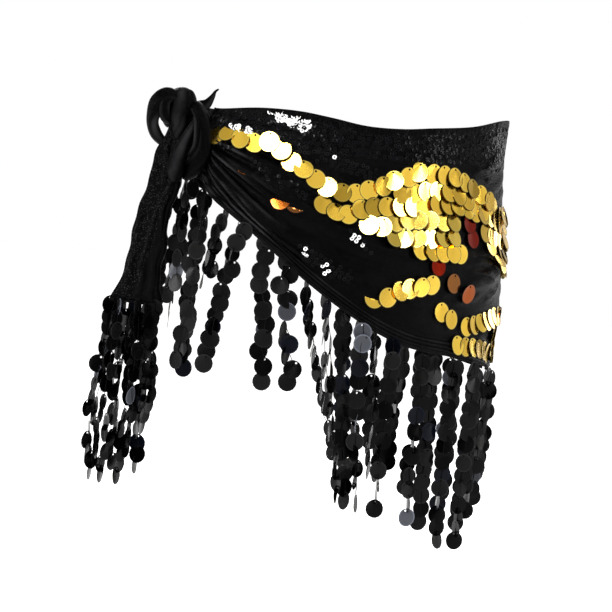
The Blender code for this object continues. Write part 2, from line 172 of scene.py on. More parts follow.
# Wrap cloth: one large triangle of black stretch cloth, wound once round the hips, its long
# side folded over at the waist. Its two corners are pulled together at the knot, and the drag
# of the knot lays long uneven folds across the front.
MM = 0.001
WAIST_HALF = (157 * MM, 112 * MM)
HIP_HALF = (172 * MM, 125 * MM)
HIP_DROP = 130 * MM
CLOTH = 1.8 * MM
SHELL = 1.2 * MM
HEM_WIDTH = 11 * MM
WAIST_FOLD = 8 * MM
WRAP_START, WRAP_END = 176, -176
ALONG_PER_DEGREE = 2.6 * MM
FRONT_COLUMNS, BACK_COLUMNS = 290, 110
BODY_ROWS = 76
HEM_ROWS = 22
WAIST_ROWS = 6
RIDGE_FROM, RIDGE_REACH = 190, 620
WAIST_RAISED = 0.7 * MM
HEM_LINES, HEM_GROOVE = 3, 0.45
PUCKER_HIGH = 0.25 * MM
PULL_HIGH, PULL_FADE = 1.3 * MM, 100 * MM
PULL_FROM_UP, PULL_FROM_PAST = 20 * MM, 30 * MM

Edge = namedtuple("Edge", "turn waist hem")
EDGES = [Edge(*row) for row in [
    (176, 1, -63), (168, 1, -72), (156, 4, -87), (143, 7, -104), (130, 8, -126), (118, 6, -149),
    (105, 3, -171), (92, 5, -189), (80, 10, -199), (62, 17, -204), (40, 28, -211), (20, 30, -218),
    (0, 24, -219), (-25, 17, -213), (-50, 9, -198), (-75, 4, -162), (-100, 3, -116), (-125, 2, -84),
    (-150, 1, -70), (-176, 1, -62),
]]

Fold = namedtuple("Fold", "turn drop to_turn to_drop bow high wide")
FOLD_RISE = 0.14
FOLD_FADE = 0.55
FOLD_NARROW = 0.7
FOLDS = [Fold(*row) for row in [
    (172, -6, 118, -20, 3, 3.5, 6), (172, -16, 92, -36, -4, 4.5, 7),
    (172, -26, 118, -64, -3, 5.0, 6), (172, -36, 98, -108, -5, 6.5, 7),
    (172, -46, 104, -132, 4, 6.0, 6), (172, -57, 92, -172, 8, 5.0, 6),
    (116, -90, 66, -120, 9, 4.0, 11), (104, -138, 58, -172, 7, 3.5, 11),
    (114, -26, 60, -16, 5, 3.5, 8), (60, -26, 22, 6, 3, 4.0, 6), (56, -48, 18, -14, 3, 4.0, 6),
    (64, -140, 22, -92, 10, 4.0, 9), (50, -186, 10, -130, 10, 3.5, 10),
    (10, -18, -34, -60, 8, 4.0, 10), (6, -88, -48, -130, 10, 4.0, 12),
    (-8, -152, -64, -148, 14, 3.5, 12), (-168, -12, -100, -22, 2, 4.0, 7),
    (-168, -24, -84, -46, -4, 5.0, 7), (-168, -36, -76, -100, -6, 6.0, 7),
    (-168, -48, -92, -104, 5, 4.5, 6), (-48, -12, -98, -40, 6, 3.5, 10),
]]


# Finer creases than the solid has: crisp ridges over the knot's side, small puckers by the
# waist and along the hem, and troughs, whose height is below nought.
CREASES = [Fold(*row) for row in [
    (174, -10, 140, -14, 1, 1.4, 2.2), (174, -21, 132, -40, -1, 1.5, 2.4),
    (174, -31, 136, -62, -2, -1.6, 2.6), (173, -41, 112, -136, -6, 3.0, 1.8),
    (173, -45, 120, -134, -5, -1.8, 1.9), (173, -50, 116, -141, 1, 2.8, 1.7),
    (172, -55, 124, -136, 3, -1.5, 1.7), (172, -36, 124, -98, -5, 2.4, 1.8),
    (172, -28, 138, -52, -3, 2.0, 1.7), (160, -62, 104, -152, 4, 2.6, 1.8),
    (150, -74, 96, -164, 5, 2.0, 2.4), (136, -96, 84, -170, 4, 1.6, 2.6),
    (146, -54, 122, -84, 2, 1.2, 2.6), (138, -8, 108, -2, 2, 1.1, 3.0),
    (128, -16, 96, -10, 2, 1.2, 2.6), (120, -24, 92, -22, -2, 1.3, 2.6),
    (116, -34, 88, -28, 2, -1.1, 3.0), (108, -12, 84, 0, 2, 1.2, 2.8), (96, -8, 66, 6, 3, 1.0, 3.0),
    (92, -20, 60, -6, 2, 1.3, 2.8), (118, -98, 92, -120, 4, 1.2, 3.4),
    (112, -120, 84, -128, 5, 1.0, 4.0), (104, -150, 84, -164, 2, 1.0, 3.0),
    (72, -148, 46, -120, 5, 1.4, 3.2), (66, -154, 40, -128, 6, 1.3, 3.4),
    (58, -128, 34, -108, 4, 1.5, 2.8), (46, -150, 24, -118, 5, 1.4, 3.0),
    (50, -34, 24, -2, 3, 1.6, 2.6), (44, -56, 20, -26, 3, 1.6, 2.6), (52, -20, 30, 14, 2, 1.3, 2.4),
    (34, -36, 12, -40, 4, 1.2, 3.4), (24, -132, 4, -150, 5, 1.2, 4.0),
    (2, -40, -30, -72, 6, 1.3, 4.0), (-10, -112, -50, -128, 7, 1.2, 4.4),
    (-30, -20, -70, -34, 4, 1.2, 4.0), (-46, -164, -80, -140, 4, 1.1, 3.6),
    (-60, -70, -108, -80, 5, 1.3, 3.6), (56, -112, 30, -140, -11, 3.0, 2.8),
    (60, -124, 32, -150, -10, 2.4, 2.6), (54, -104, 24, -116, -6, 2.2, 2.8),
    (-172, -18, -126, -24, 1, 1.5, 2.4), (-172, -30, -118, -44, -2, 1.6, 2.4),
    (-172, -42, -110, -84, -4, 1.7, 2.4), (-172, -50, -120, -74, 3, -1.3, 2.4),
]]


def read_column(rows, key, name, at):
    """A named column of a table, read along another column as a smooth curve."""
    keys = np.array([getattr(row, key) for row in rows], float)
    values = np.array([getattr(row, name) for row in rows], float)
    if keys[0] > keys[-1]:
        keys, values = keys[::-1], values[::-1]
    at = np.clip(at, keys[0], keys[-1])
    i = np.clip(np.searchsorted(keys, at, side="right") - 1, 0, len(keys) - 2)
    before = np.maximum(np.arange(len(keys)) - 1, 0)
    after = np.minimum(np.arange(len(keys)) + 1, len(keys) - 1)
    slopes = (values[after] - values[before]) / (keys[after] - keys[before])
    span = keys[i + 1] - keys[i]
    u = (at - keys[i]) / span
    start = (2 * u**3 - 3 * u**2 + 1) * values[i] + (u**3 - 2 * u**2 + u) * span * slopes[i]
    end = (3 * u**2 - 2 * u**3) * values[i + 1] + (u**3 - u**2) * span * slopes[i + 1]
    return start + end


def waist_height(turn):
    return read_column(EDGES, "turn", "waist", turn) * MM


def hem_height(turn):
    return read_column(EDGES, "turn", "hem", turn) * MM


def eased(share):
    """A share from 0 to 1 that starts and ends slowly."""
    share = np.clip(share, 0, 1)
    return share * share * (3 - 2 * share)


def hip_points(turn, height, out=0.0):
    """Points on the general hip form, moved out from it."""
    share = eased(-height / HIP_DROP)
    half_x = WAIST_HALF[0] + (HIP_HALF[0] - WAIST_HALF[0]) * share
    half_y = WAIST_HALF[1] + (HIP_HALF[1] - WAIST_HALF[1]) * share
    angle = np.radians(turn)
    away_x, away_y = np.cos(angle) / half_x, -np.sin(angle) / half_y
    length = np.hypot(away_x, away_y)
    return np.stack([half_x * np.cos(angle) + out * away_x / length,
                     -half_y * np.sin(angle) + out * away_y / length,
                     height + 0 * angle], axis=-1)


def fold_heights(folds, turn, height):
    """How far the folds of a table lift the cloth from the hips."""
    total = 0.0
    for fold in folds:
        run = (fold.turn - fold.to_turn) * ALONG_PER_DEGREE
        fall = (fold.to_drop - fold.drop) * MM
        length = math.hypot(run, fall)
        along = (fold.turn - turn) * ALONG_PER_DEGREE
        down = height - fold.drop * MM
        share = np.clip((along * run + down * fall) / length**2, 0, 1)
        aside = (down * run - along * fall) / length + fold.bow * MM * 4 * share * (1 - share)
        ends = eased(share / FOLD_RISE) * eased((1 - share) / FOLD_FADE)
        wide = fold.wide * MM * (FOLD_NARROW + (1 - FOLD_NARROW) * 2 * share)
        total = total + fold.high * MM * ends * np.exp(-((aside / wide) ** 2))
    return total


def pull_lines(turn, height):
    """Low ripples that fan out from the knot, with uneven strength."""
    from_knot = np.minimum(abs(WRAP_START - turn), abs(turn - WRAP_END)) * ALONG_PER_DEGREE
    fan = np.arctan2(-height - PULL_FROM_UP, from_knot + PULL_FROM_PAST)
    strength = np.exp(-from_knot / PULL_FADE) * (0.6 + 0.4 * np.sin(from_knot * 60 + fan * 9))
    return PULL_HIGH * strength * np.sin(fan * 34 + 2.0 * np.sin(from_knot * 25))


def cloth_points(turn, height, out=0.0):
    lift = fold_heights(FOLDS, turn, height) + fold_heights(CREASES, turn, height)
    return hip_points(turn, height, out + lift + pull_lines(turn, height))


def read_points(mesh):
    """The points of a mesh, a row each."""
    flat = np.empty(len(mesh.vertices) * 3)
    mesh.vertices.foreach_get("co", flat)
    return flat.reshape(-1, 3)


def read_corners(mesh):
    """The point that each corner of the mesh's faces lies on."""
    corners = np.empty(len(mesh.loops), int)
    mesh.loops.foreach_get("vertex_index", corners)
    return corners


def note_ridges(mesh, ridges):
    """Keeps how sharply each point is creased, which the material reads to paint a highlight along the
    ridges.
    """
    mesh.attributes.new("ridge", "FLOAT", "POINT").data.foreach_set("value", np.ravel(ridges))


def shape_grid(name, columns, rows, points, across, down, ridges):
    """A grid of faces laid on an array of points, with a UV map in metres of cloth."""
    bpy.ops.object.select_all(action="DESELECT")
    bpy.ops.mesh.primitive_grid_add(x_subdivisions=columns, y_subdivisions=rows, size=1)
    cloth = bpy.context.object
    cloth.name = name
    mesh = cloth.data
    flat = read_points(mesh)
    i = np.rint((flat[:, 0] + 0.5) * columns).astype(int)
    j = np.rint((0.5 - flat[:, 1]) * rows).astype(int)
    mesh.vertices.foreach_set("co", points[i, j].ravel())
    uv = np.stack([across[i, j], down[i, j]], axis=-1)[read_corners(mesh)]
    mesh.uv_layers.active.data.foreach_set("uv", uv.ravel())
    note_ridges(mesh, ridges[i, j])
    mesh.update()
    return cloth


def ridge_shares(relief, along, heights):
    """How sharply the cloth is creased outwards at each point, from 0 to 1."""
    across = np.gradient(np.gradient(relief, along, axis=0), along, axis=0)
    steps = np.gradient(heights, axis=1)
    down = np.gradient(np.gradient(relief, axis=1) / steps, axis=1) / steps
    return np.clip((-(across + down) - RIDGE_FROM) / RIDGE_REACH, 0, 1) ** 1.4


def select_only(piece):
    bpy.ops.object.select_all(action="DESELECT")
    piece.select_set(True)
    bpy.context.view_layer.objects.active = piece


def smooth_outwards(piece):
    """Turns all faces of a closed piece outwards and shades it smooth."""
    select_only(piece)
    bpy.ops.object.mode_set(mode="EDIT")
    bpy.ops.mesh.select_all(action="SELECT")
    bpy.ops.mesh.normals_make_consistent(inside=False)
    bpy.ops.object.mode_set(mode="OBJECT")
    bpy.ops.object.shade_smooth()


def thicken(cloth):
    """Turns a sheet into a closed wall, half to each side, shaded smooth."""
    modifier = cloth.modifiers.new("wall", "SOLIDIFY")
    modifier.thickness = SHELL
    modifier.offset = 0
    modifier.use_even_offset = False
    select_only(cloth)
    bpy.ops.object.modifier_apply(modifier=modifier.name)
    smooth_outwards(cloth)


def wrap_rows(turn):
    """Heights of the rows at each turn, and how far the waist fold and the hem stand out."""
    waist, hem = waist_height(turn), hem_height(turn)
    heights, lifts = [], []
    for k in range(WAIST_ROWS):
        u = k / WAIST_ROWS
        heights.append(waist - u * WAIST_FOLD)
        lifts.append(WAIST_RAISED * math.sqrt(1 - (2 * u - 1) ** 2 * 0.9) + 0 * waist)
    top, bottom = waist - WAIST_FOLD, hem + HEM_WIDTH
    for k in range(BODY_ROWS + 1):
        heights.append(top + (bottom - top) * k / BODY_ROWS)
        lifts.append(0 * waist)
    for k in range(1, HEM_ROWS + 1):
        u = k / HEM_ROWS
        heights.append(bottom - HEM_WIDTH * u)
        grooves = HEM_GROOVE * math.cos(2 * math.pi * HEM_LINES * u + math.pi)
        lifts.append((min(1, 5 * u) + grooves) * MM + 0 * waist)
    return np.array(heights).T, np.array(lifts).T


wrap_turns = np.concatenate([np.linspace(WRAP_START, 0, FRONT_COLUMNS + 1),
                             np.linspace(0, WRAP_END, BACK_COLUMNS + 1)[1:]])
heights, lifts = wrap_rows(wrap_turns)
turns = np.repeat(wrap_turns[:, None], heights.shape[1], axis=1)
puckers = PUCKER_HIGH * np.sin(turns * 6.1 + 3 * np.sin(turns * 0.9)) * (lifts > 0)
wrap_points = cloth_points(turns, heights, CLOTH / 2 + lifts + puckers)
wrap_relief = fold_heights(FOLDS, turns, heights) + fold_heights(CREASES, turns, heights)
# How sharply the wrap is creased outwards; the material paints a highlight along these ridges.
wrap_ridges = ridge_shares(wrap_relief + pull_lines(turns, heights) + 0.4 * lifts,
                           (WRAP_START - wrap_turns) * ALONG_PER_DEGREE, heights)
wrap_shell = shape_grid("wrap_shell", len(wrap_turns) - 1, heights.shape[1] - 1, wrap_points,
                        (WRAP_START - turns) * ALONG_PER_DEGREE, heights, wrap_ridges)
thicken(wrap_shell)


def add_knit_group():
    """Fine rib knit: the height of tiny loops, from a UV map in metres."""
    group = bpy.data.node_groups.new("fine_knit", "ShaderNodeTree")
    for name, way, kind in (("Vector", "INPUT", "Vector"), ("Loops per metre", "INPUT", "Float"),
                            ("Height", "OUTPUT", "Float")):
        group.interface.new_socket(name, in_out=way, socket_type="NodeSocket" + kind)
    enter, leave = group.nodes.new("NodeGroupInput"), group.nodes.new("NodeGroupOutput")
    laid = {"Vector": enter.outputs["Vector"], "Scale": enter.outputs["Loops per metre"]}
    ribs = add_node(group, "TexWave", {**laid, "Distortion": 1.0})
    rows = add_node(group, "TexWave", {**laid, "Distortion": 1.5}, bands_direction="Y")
    both = add_node(group, "Math", {0: ribs.outputs["Fac"], 1: rows.outputs["Fac"]},
                    operation="MULTIPLY")
    set_inputs(group, leave, {"Height": both.outputs["Value"]})
    return group


fine_knit = add_knit_group()
MIX_FROM, MIX_TO, MIXED = 6, 7, 2
# Painted highlight: the paler colour laid along the ridges of the cloth's folds.
RIDGE_PAINTED_HIGHLIGHT = (0.019, 0.019, 0.0205, 1)


def make_cloth_material(name, colour, worn, roughness, specular, sheen, crease_scale):
    """Black stretch cloth: knit loops, slack wrinkles, dustier patches where it is rubbed, and
    a painted highlight, a paler colour along the ridges of its folds, broken up by the patches."""
    material, tree, shader = new_material(name, {"Specular IOR Level": specular, "Sheen Weight": sheen,
                                                 "Sheen Roughness": 0.35})
    place = add_node(tree, "TexCoord").outputs["Object"]
    knit = add_node(tree, "Group", {"Vector": add_node(tree, "UVMap").outputs["UV"],
                                    "Loops per metre": 900}, node_tree=fine_knit)
    wrinkles = add_node(tree, "TexNoise", {"Vector": place, "Scale": crease_scale, "Detail": 5,
                                           "Roughness": 0.62})
    rubbed = add_node(tree, "TexNoise", {"Vector": place, "Scale": 26, "Detail": 6}).outputs["Fac"]
    colours = add_ramp(tree, rubbed, 0.38, 0.72, colour, worn)
    ridge = add_node(tree, "Attribute", attribute_name="ridge")
    patchy = add_node(tree, "MapRange", {"Value": rubbed, "From Min": 0.42, "From Max": 0.60,
                                         "To Min": 0.30})
    # Painted highlight along the ridges, patchy where the cloth is rubbed.
    highlight_share = add_node(tree, "Math", {0: patchy.outputs["Result"], 1: ridge.outputs["Fac"]},
                     operation="MULTIPLY")
    highlighted = add_node(tree, "Mix", {"Factor": highlight_share.outputs["Value"], MIX_FROM: colours,
                                   MIX_TO: RIDGE_PAINTED_HIGHLIGHT}, data_type="RGBA")
    gloss = add_node(tree, "MapRange", {"Value": rubbed, "To Min": roughness - 0.08,
                                        "To Max": roughness + 0.14})
    fine = add_node(tree, "Bump", {"Height": knit.outputs["Height"], "Distance": 0.0002,
                                   "Strength": 0.35})
    coarse = add_node(tree, "Bump", {"Height": wrinkles.outputs["Fac"], "Distance": 0.0022,
                                     "Strength": 0.55, "Normal": fine.outputs["Normal"]})
    set_inputs(tree, shader, {"Base Color": highlighted.outputs[MIXED], "Normal": coarse.outputs["Normal"],
                              "Roughness": gloss.outputs["Result"]})
    return material


stretch_cloth = make_cloth_material("black_stretch_cloth", (0.0002, 0.0002, 0.0003),
                                    (0.0007, 0.0007, 0.0008), 0.22, 0.025, 0.0004, 60)
wrap_shell.data.materials.append(stretch_cloth)
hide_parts("wrap_cloth")
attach(wrap_shell, "root")


# Hem stitching: the hem is folded twice and held by three parallel rows of machine stitches in
# black thread, which catch a little light along its grooves.
STITCH_PITCH = 3.0 * MM
STITCH_LONG = 2.1 * MM
STITCH_RADIUS = 0.28 * MM
STITCH_ROWS = (0.17, 0.50, 0.83)
STITCH_LIFT = 0.75 * MM


def add_mesh(name, points, faces):
    """A new object of the given points and faces."""
    mesh = bpy.data.meshes.new(name)
    mesh.from_pydata(points, [], faces)
    piece = bpy.data.objects.new(name, mesh)
    bpy.context.collection.objects.link(piece)
    return piece


def copy_joined(name, shape, places):
    """One mesh with a copy of a small shape at each 4 x 4 place, given as an array."""
    flat = read_points(shape.data)
    count = len(flat)
    faces = [tuple(face.vertices) for face in shape.data.polygons]
    places = np.asarray(places)
    points = np.einsum("nij,vj->nvi", places[:, :3, :3], flat) + places[:, None, :3, 3]
    joined = add_mesh(name, points.reshape(-1, 3).tolist(),
                      [tuple(v + n * count for v in face) for n in range(len(places)) for face in faces])
    own = flat[read_corners(joined.data) % count, :2] / (2 * abs(flat[:, :2]).max()) + 0.5
    joined.data.uv_layers.new(name="own").data.foreach_set("uv", own.ravel())
    return joined


def frame_at(place, along, away):
    """A place's 4 x 4 frame: X along, Z away from the hips."""
    along = Vector(along).normalized()
    away = Vector(away)
    away = (away - along * away.dot(along)).normalized()
    side = away.cross(along)
    matrix = Matrix((along, side, away)).transposed().to_4x4()
    matrix.translation = place
    return np.array(matrix)


bpy.ops.object.select_all(action="DESELECT")
bpy.ops.mesh.primitive_uv_sphere_add(segments=6, ring_count=5, radius=1)
stitch = bpy.context.object
stitch.name = "one_stitch"
stitch.scale = (STITCH_LONG / 2, STITCH_RADIUS, STITCH_RADIUS)
bpy.ops.object.transform_apply(location=False, rotation=False, scale=True)


def along_edge(height_of, lift, pitch):
    """Evenly spaced places along an edge of the wrap: (point, direction, outward)."""
    turns = np.linspace(WRAP_START - 1, WRAP_END + 1, 2400)
    points = cloth_points(turns, height_of(turns), lift)
    steps = np.linalg.norm(np.diff(points, axis=0), axis=1)
    far = np.concatenate([[0], np.cumsum(steps)])
    found = []
    for at in np.arange(pitch / 2, far[-1], pitch):
        turn = np.interp(at, far, turns)
        point = np.array([np.interp(at, far, points[:, k]) for k in range(3)])
        ahead = np.array([np.interp(at + 1 * MM, far, points[:, k]) for k in range(3)])
        outward = hip_points(turn, 0.0, 1.0) - hip_points(turn, 0.0)
        found.append((point, ahead - point, outward))
    return found


stitch_places = []
for share in STITCH_ROWS:
    row = along_edge(lambda turn: hem_height(turn) + HEM_WIDTH * (1 - share), CLOTH + STITCH_LIFT,
                     STITCH_PITCH)
    stitch_places += [frame_at(*place) for place in row]
hem_stitches = copy_joined("hem_stitches", stitch, stitch_places)
bpy.data.objects.remove(stitch)


def make_thread_material():
    """Black polyester thread, a little shiny, twisted."""
    material, tree, shader = new_material("black_thread", {"Specular IOR Level": 0.03, "Roughness": 0.62})
    fuzz = add_node(tree, "TexNoise", {"Vector": add_node(tree, "TexCoord").outputs["Object"],
                                       "Scale": 900}).outputs["Fac"]
    bump = add_node(tree, "Bump", {"Height": fuzz, "Distance": 0.0002})
    set_inputs(tree, shader, {
        "Base Color": add_ramp(tree, fuzz, 0, 1, (0.002, 0.002, 0.002), (0.006, 0.006, 0.006)),
        "Normal": bump.outputs["Normal"]})
    return material


black_thread = make_thread_material()
hem_stitches.data.materials.append(black_thread)
select_only(hem_stitches)
bpy.ops.object.shade_smooth()
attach(hem_stitches, "root")


# Knot: the two corners of the triangle cross at the hip. The rear corner is pushed through as
# half a bow, its point sticks up beside it, and rolled gathers of both corners run into it.
KNOT_TURN, KNOT_UP, KNOT_OUT = 180, -30 * MM, 18 * MM
ROLL_ROUND, ROLL_LONG = 60 * MM, 90 * MM
RING_STEP = 0.05
SWING = way_to(65, 0)
KNOT_FRONT = Vector((SWING.y, -SWING.x, 0))
KNOT_MIDDLE = Vector(hip_points(KNOT_TURN, KNOT_UP, KNOT_OUT))
Ring = namedtuple("Ring", "at across out up wide thick")
GATHER = [Ring(*row) for row in [
    (0, 3, 8, 31, 5, 4), (1, 9, 11, 24, 7, 7), (2, 14, 14, 9, 8, 8), (3, 16, 14, -8, 8.5, 8),
    (4, 13, 12, -21, 9, 8), (5, 7, 8, -33, 8, 6.5), (6, 2, 5, -41, 4, 4),
]]
GATHER_EDGE = [Ring(*row) for row in [
    (0, 1, 13, 27, 2.5, 2.5), (1, 7, 18, 18, 3.4, 3), (2, 9, 20, 4, 3.6, 3), (3, 9, 19, -9, 3.4, 3),
    (4, 4, 16, -19, 2.6, 2.4),
]]
LOOP_FOLD = [Ring(*row) for row in [
    (0, -19, 10, 37, 4, 3), (1, -25, 12, 31, 5, 3.5), (2, -26, 13, 22, 5.5, 3.5),
    (3, -24, 12, 15, 5, 3), (4, -19, 10, 11, 3, 2.5),
]]
SATIN_FOLD = [Ring(*row) for row in [
    (0, 5, 11, 15, 3, 3), (1, 2, 14, 5, 5, 4), (2, -3, 16, -10, 7, 5), (3, -7, 16, -24, 9, 5.5),
    (4, -8, 14, -35, 9, 5), (5, -6, 11, -44, 5, 3.5),
]]
BACK_GATHER = [Ring(*row) for row in [
    (0, 0, -10, 24, 5, 5), (1, 3, -17, 17, 8, 7), (2, 5, -22, 4, 9, 8), (3, 5, -22, -12, 9, 8),
    (4, 2, -16, -26, 8, 7), (5, -2, -9, -34, 5, 5),
]]
CORE = [Ring(*row) for row in [
    (0, -11, -2, 44, 7, 6), (1, -11, 0, 39, 13, 12), (2, -12, 1, 29, 17, 14),
    (3, -12, 2, 18, 16, 14), (4, -8, 2, 9, 12, 11), (5, -8, 1, -3, 10, 7), (6, -8, 0, -14, 6, 5),
]]
LOOP = [Ring(*row) for row in [
    (0, -16, 9, 36, 5, 5), (1, -25, 9, 36, 8, 6), (2, -33, 8, 29, 8, 7), (3, -36, 6, 18, 7, 7),
    (4, -36, 4, 8, 6, 6), (5, -32, 3, -1, 6, 5), (6, -26, 3, -7, 5, 5), (7, -20, 3, -10, 4, 4),
]]
TAIL = [Ring(*row) for row in [
    (0, 2, 2, 24, 7, 3), (1, 8, 4, 29, 7, 3), (2, 14, 5, 34, 4.6, 2.4), (3, 18, 6, 41, 2.6, 1.6),
    (4, 20, 7, 46, 1.4, 1.0), (5, 23, 7, 49, 0.7, 0.6),
]]


def knot_point(across, out, up):
    """A place at the knot, in millimetres to the right, forward and up from its middle."""
    return KNOT_MIDDLE + (SWING * across + KNOT_FRONT * out + Vector((0, 0, up))) * MM


def tube_faces(first, steps, sides):
    """The faces of a closed tube whose rings of points are numbered on from first."""
    faces = []
    for a in range(first, first + steps * sides, sides):
        for k in range(sides):
            b = (k + 1) % sides
            faces.append((a + k, a + b, a + b + sides, a + k + sides))
    last = first + steps * sides
    return faces + [tuple(range(first, first + sides))[::-1], tuple(range(last, last + sides))]


def roll_cloth(name, rings, pleats, deep, twist, phase, sides=72, steps=60):
    """A rolled, gathered length of cloth through a table's rings: soft pleats between creases
    that wander, fade and cross over as they run along it."""
    last = rings[-1].at
    around = np.linspace(0, 2 * math.pi, sides, endpoint=False)
    points, ridges = [], []
    for at in np.linspace(0, last, steps + 1):
        ring = Ring(*(float(read_column(rings, "at", field, at)) for field in Ring._fields))
        low, high = max(at - RING_STEP, 0), min(at + RING_STEP, last)
        before, after = (knot_point(*(float(read_column(rings, "at", field, near))
                                      for field in ("across", "out", "up"))) for near in (low, high))
        run = after - before
        side = run.cross(KNOT_FRONT).normalized()
        front = side.cross(run).normalized()
        wander = around + twist * at + 0.25 * np.sin(1.3 * at + phase)
        fat = np.abs(np.sin(pleats / 2 * wander + phase)) ** 0.75
        thin = np.abs(np.sin((pleats + 2) / 2 * wander + 2.1 * phase + 0.4 * at)) ** 0.9
        plump = 1.25 * fat + 0.45 * thin
        swell = 1 - deep + deep * plump / 1.2
        # The pleat crests, along which the material paints a highlight.
        ridges.append(np.clip(plump / 1.7 * 2.6 - 1.6, 0, 1) ** 1.6)
        centre = np.array(knot_point(ring.across, ring.out, ring.up))
        loop = centre + np.outer(ring.wide * MM * swell * np.cos(around), side)
        points.append(loop + np.outer(ring.thick * MM * swell * np.sin(around), front))
    roll = add_mesh(name, np.reshape(points, (-1, 3)).tolist(), tube_faces(0, steps, sides))
    note_ridges(roll.data, ridges)
    corners = read_corners(roll.data)
    flat = np.stack([(corners % sides) / sides * ROLL_ROUND, (corners // sides) / steps * ROLL_LONG],
                    axis=-1)
    roll.data.uv_layers.new(name="own").data.foreach_set("uv", flat.ravel())
    smooth_outwards(roll)
    return roll


satin_side = make_cloth_material("black_satin_side", (0.0003, 0.0003, 0.0004),
                                 (0.0009, 0.0009, 0.0010), 0.25, 0.022, 0.0003, 90)
knot_pieces = [
    (roll_cloth("knot_gather_roll", GATHER, 3, 0.14, 0.10, 0.4), "knot_gather"),
    (roll_cloth("knot_gather_edge", GATHER_EDGE, 2, 0.08, 0.05, 0.9), None),
    (roll_cloth("knot_loop_fold", LOOP_FOLD, 3, 0.16, 0.05, 0.4), None),
    (roll_cloth("knot_satin_fold", SATIN_FOLD, 2, 0.06, 0.04, 0.2), None),
    (roll_cloth("knot_back_gather_roll", BACK_GATHER, 4, 0.16, 0.1, 1.5), "knot_back_gather"),
    (roll_cloth("knot_core_roll", CORE, 4, 0.13, 0.14, 1.0), "knot_core"),
    (roll_cloth("knot_loop_roll", LOOP, 2, 0.14, 0.12, 2.0), "knot_loop"),
    (roll_cloth("knot_tail_fold", TAIL, 2, 0.20, 0.1, 0.5, 48, 40), "knot_tail"),
]
for roll, node in knot_pieces:
    roll.data.materials.append(satin_side)
    if node:
        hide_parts(node)
    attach(roll, "root")


# Tie end: the free end of the front corner hangs below the knot, folded double with its fold
# to the right, gathered at the top and spread in soft pleats at its stitched lower edge.
Level = namedtuple("Level", "up left right deep pleat")
TIE_LEVELS = [Level(*row) for row in [
    (13, -18, 2, 9, 0.5), (-4, -23, -5, 7, 0.8), (-22, -29, -2, 8, 1.4), (-42, -32, -2, 9, 2.0),
    (-60, -35, -5, 8, 2.0), (-80, -38, -8, 8, 2.0), (-104, -42, -8, 8, 2.2),
    (-128, -43, -9, 9, 2.4), (-148, -46, -7, 10, 2.2), (-164, -55, -5, 11, 2.0),
]]
TIE_PLEATS = 3
TIE_OUT = 4
TIE_FRONT_SHARE = 0.62
TIE_ROUND_SHARE = 0.14
TIE_ROUND = 0.10
TIE_BACK_WIDE = 0.72
TIE_NEAR = 0.75
TIE_CALM = 0.2
TIE_TWIST = 0.012
TIE_COLUMNS, TIE_ROWS = 120, 130
TIE_ACROSS = 95 * MM
TIE_HEM = 9


def tie_point(share, up, lift=0.0):
    """A point on the folded tie end: share runs from the front's left edge, round the fold at
    its right, to the end of the layer behind."""
    left, right, deep, pleat = (float(read_column(TIE_LEVELS, "up", column, up))
                                for column in ("left", "right", "deep", "pleat"))
    front, behind = TIE_FRONT_SHARE, TIE_FRONT_SHARE + TIE_ROUND_SHARE
    wide = right - left
    wave = pleat * math.sin(TIE_PLEATS * 2 * math.pi * share / front + up * TIE_TWIST)
    wave *= 0.28 + 0.22 * math.sin(up * 0.045 + share * 7)
    if share < front:
        u = share / front
        across = left + wide * (u - TIE_ROUND * u**6)
        out = deep / 2 * (1 - (1 - TIE_NEAR) * u**8)
        facing = Vector((0, 1))
    elif share < behind:
        angle = math.pi * (share - front) / TIE_ROUND_SHARE
        across = right - TIE_ROUND * wide * (1 - math.sin(angle))
        out = deep / 2 * TIE_NEAR * math.cos(angle)
        facing = Vector((math.sin(angle), math.cos(angle)))
        wave *= TIE_CALM
    else:
        u = (share - behind) / (1 - behind)
        across = right - (TIE_ROUND + TIE_BACK_WIDE * u) * wide
        out = -deep / 2 * TIE_NEAR
        facing = Vector((0, -1))
        wave *= TIE_CALM
    across += facing.x * lift / MM + 0.9 * math.sin(up * 0.10) + 0.5 * math.sin(up * 0.23 + 2)
    out += TIE_OUT + facing.y * (wave + lift / MM)
    return knot_point(across, out, up)


def tie_relief(share, up):
    """Slack wrinkles of the tie end, and the ridges of its lower hem, in metres."""
    slack = 0.7 * math.sin(share * 17 + up * 0.06) * math.sin(up * 0.07 + share * 9)
    ridge = (share - 0.30 - 0.0022 * (up + 110)) / 0.035
    slack += 1.3 * math.exp(-ridge * ridge)
    above_edge = up - TIE_LEVELS[-1].up
    if above_edge < TIE_HEM:
        slack += 0.6 + 0.35 * math.cos(above_edge / TIE_HEM * 6 * math.pi + math.pi)
    return slack * MM


tie_ups = np.linspace(TIE_LEVELS[0].up, TIE_LEVELS[-1].up, TIE_ROWS + 1)
tie_points = np.array([[tie_point(i / TIE_COLUMNS, up, tie_relief(i / TIE_COLUMNS, up))
                        for up in tie_ups] for i in range(TIE_COLUMNS + 1)])
tie_across, tie_down = np.meshgrid(np.linspace(0, TIE_ACROSS, TIE_COLUMNS + 1), tie_ups * MM,
                                   indexing="ij")
tie_cloth = shape_grid("tie_end_cloth", TIE_COLUMNS, TIE_ROWS, tie_points, tie_across, tie_down,
                       0 * tie_across)
thicken(tie_cloth)


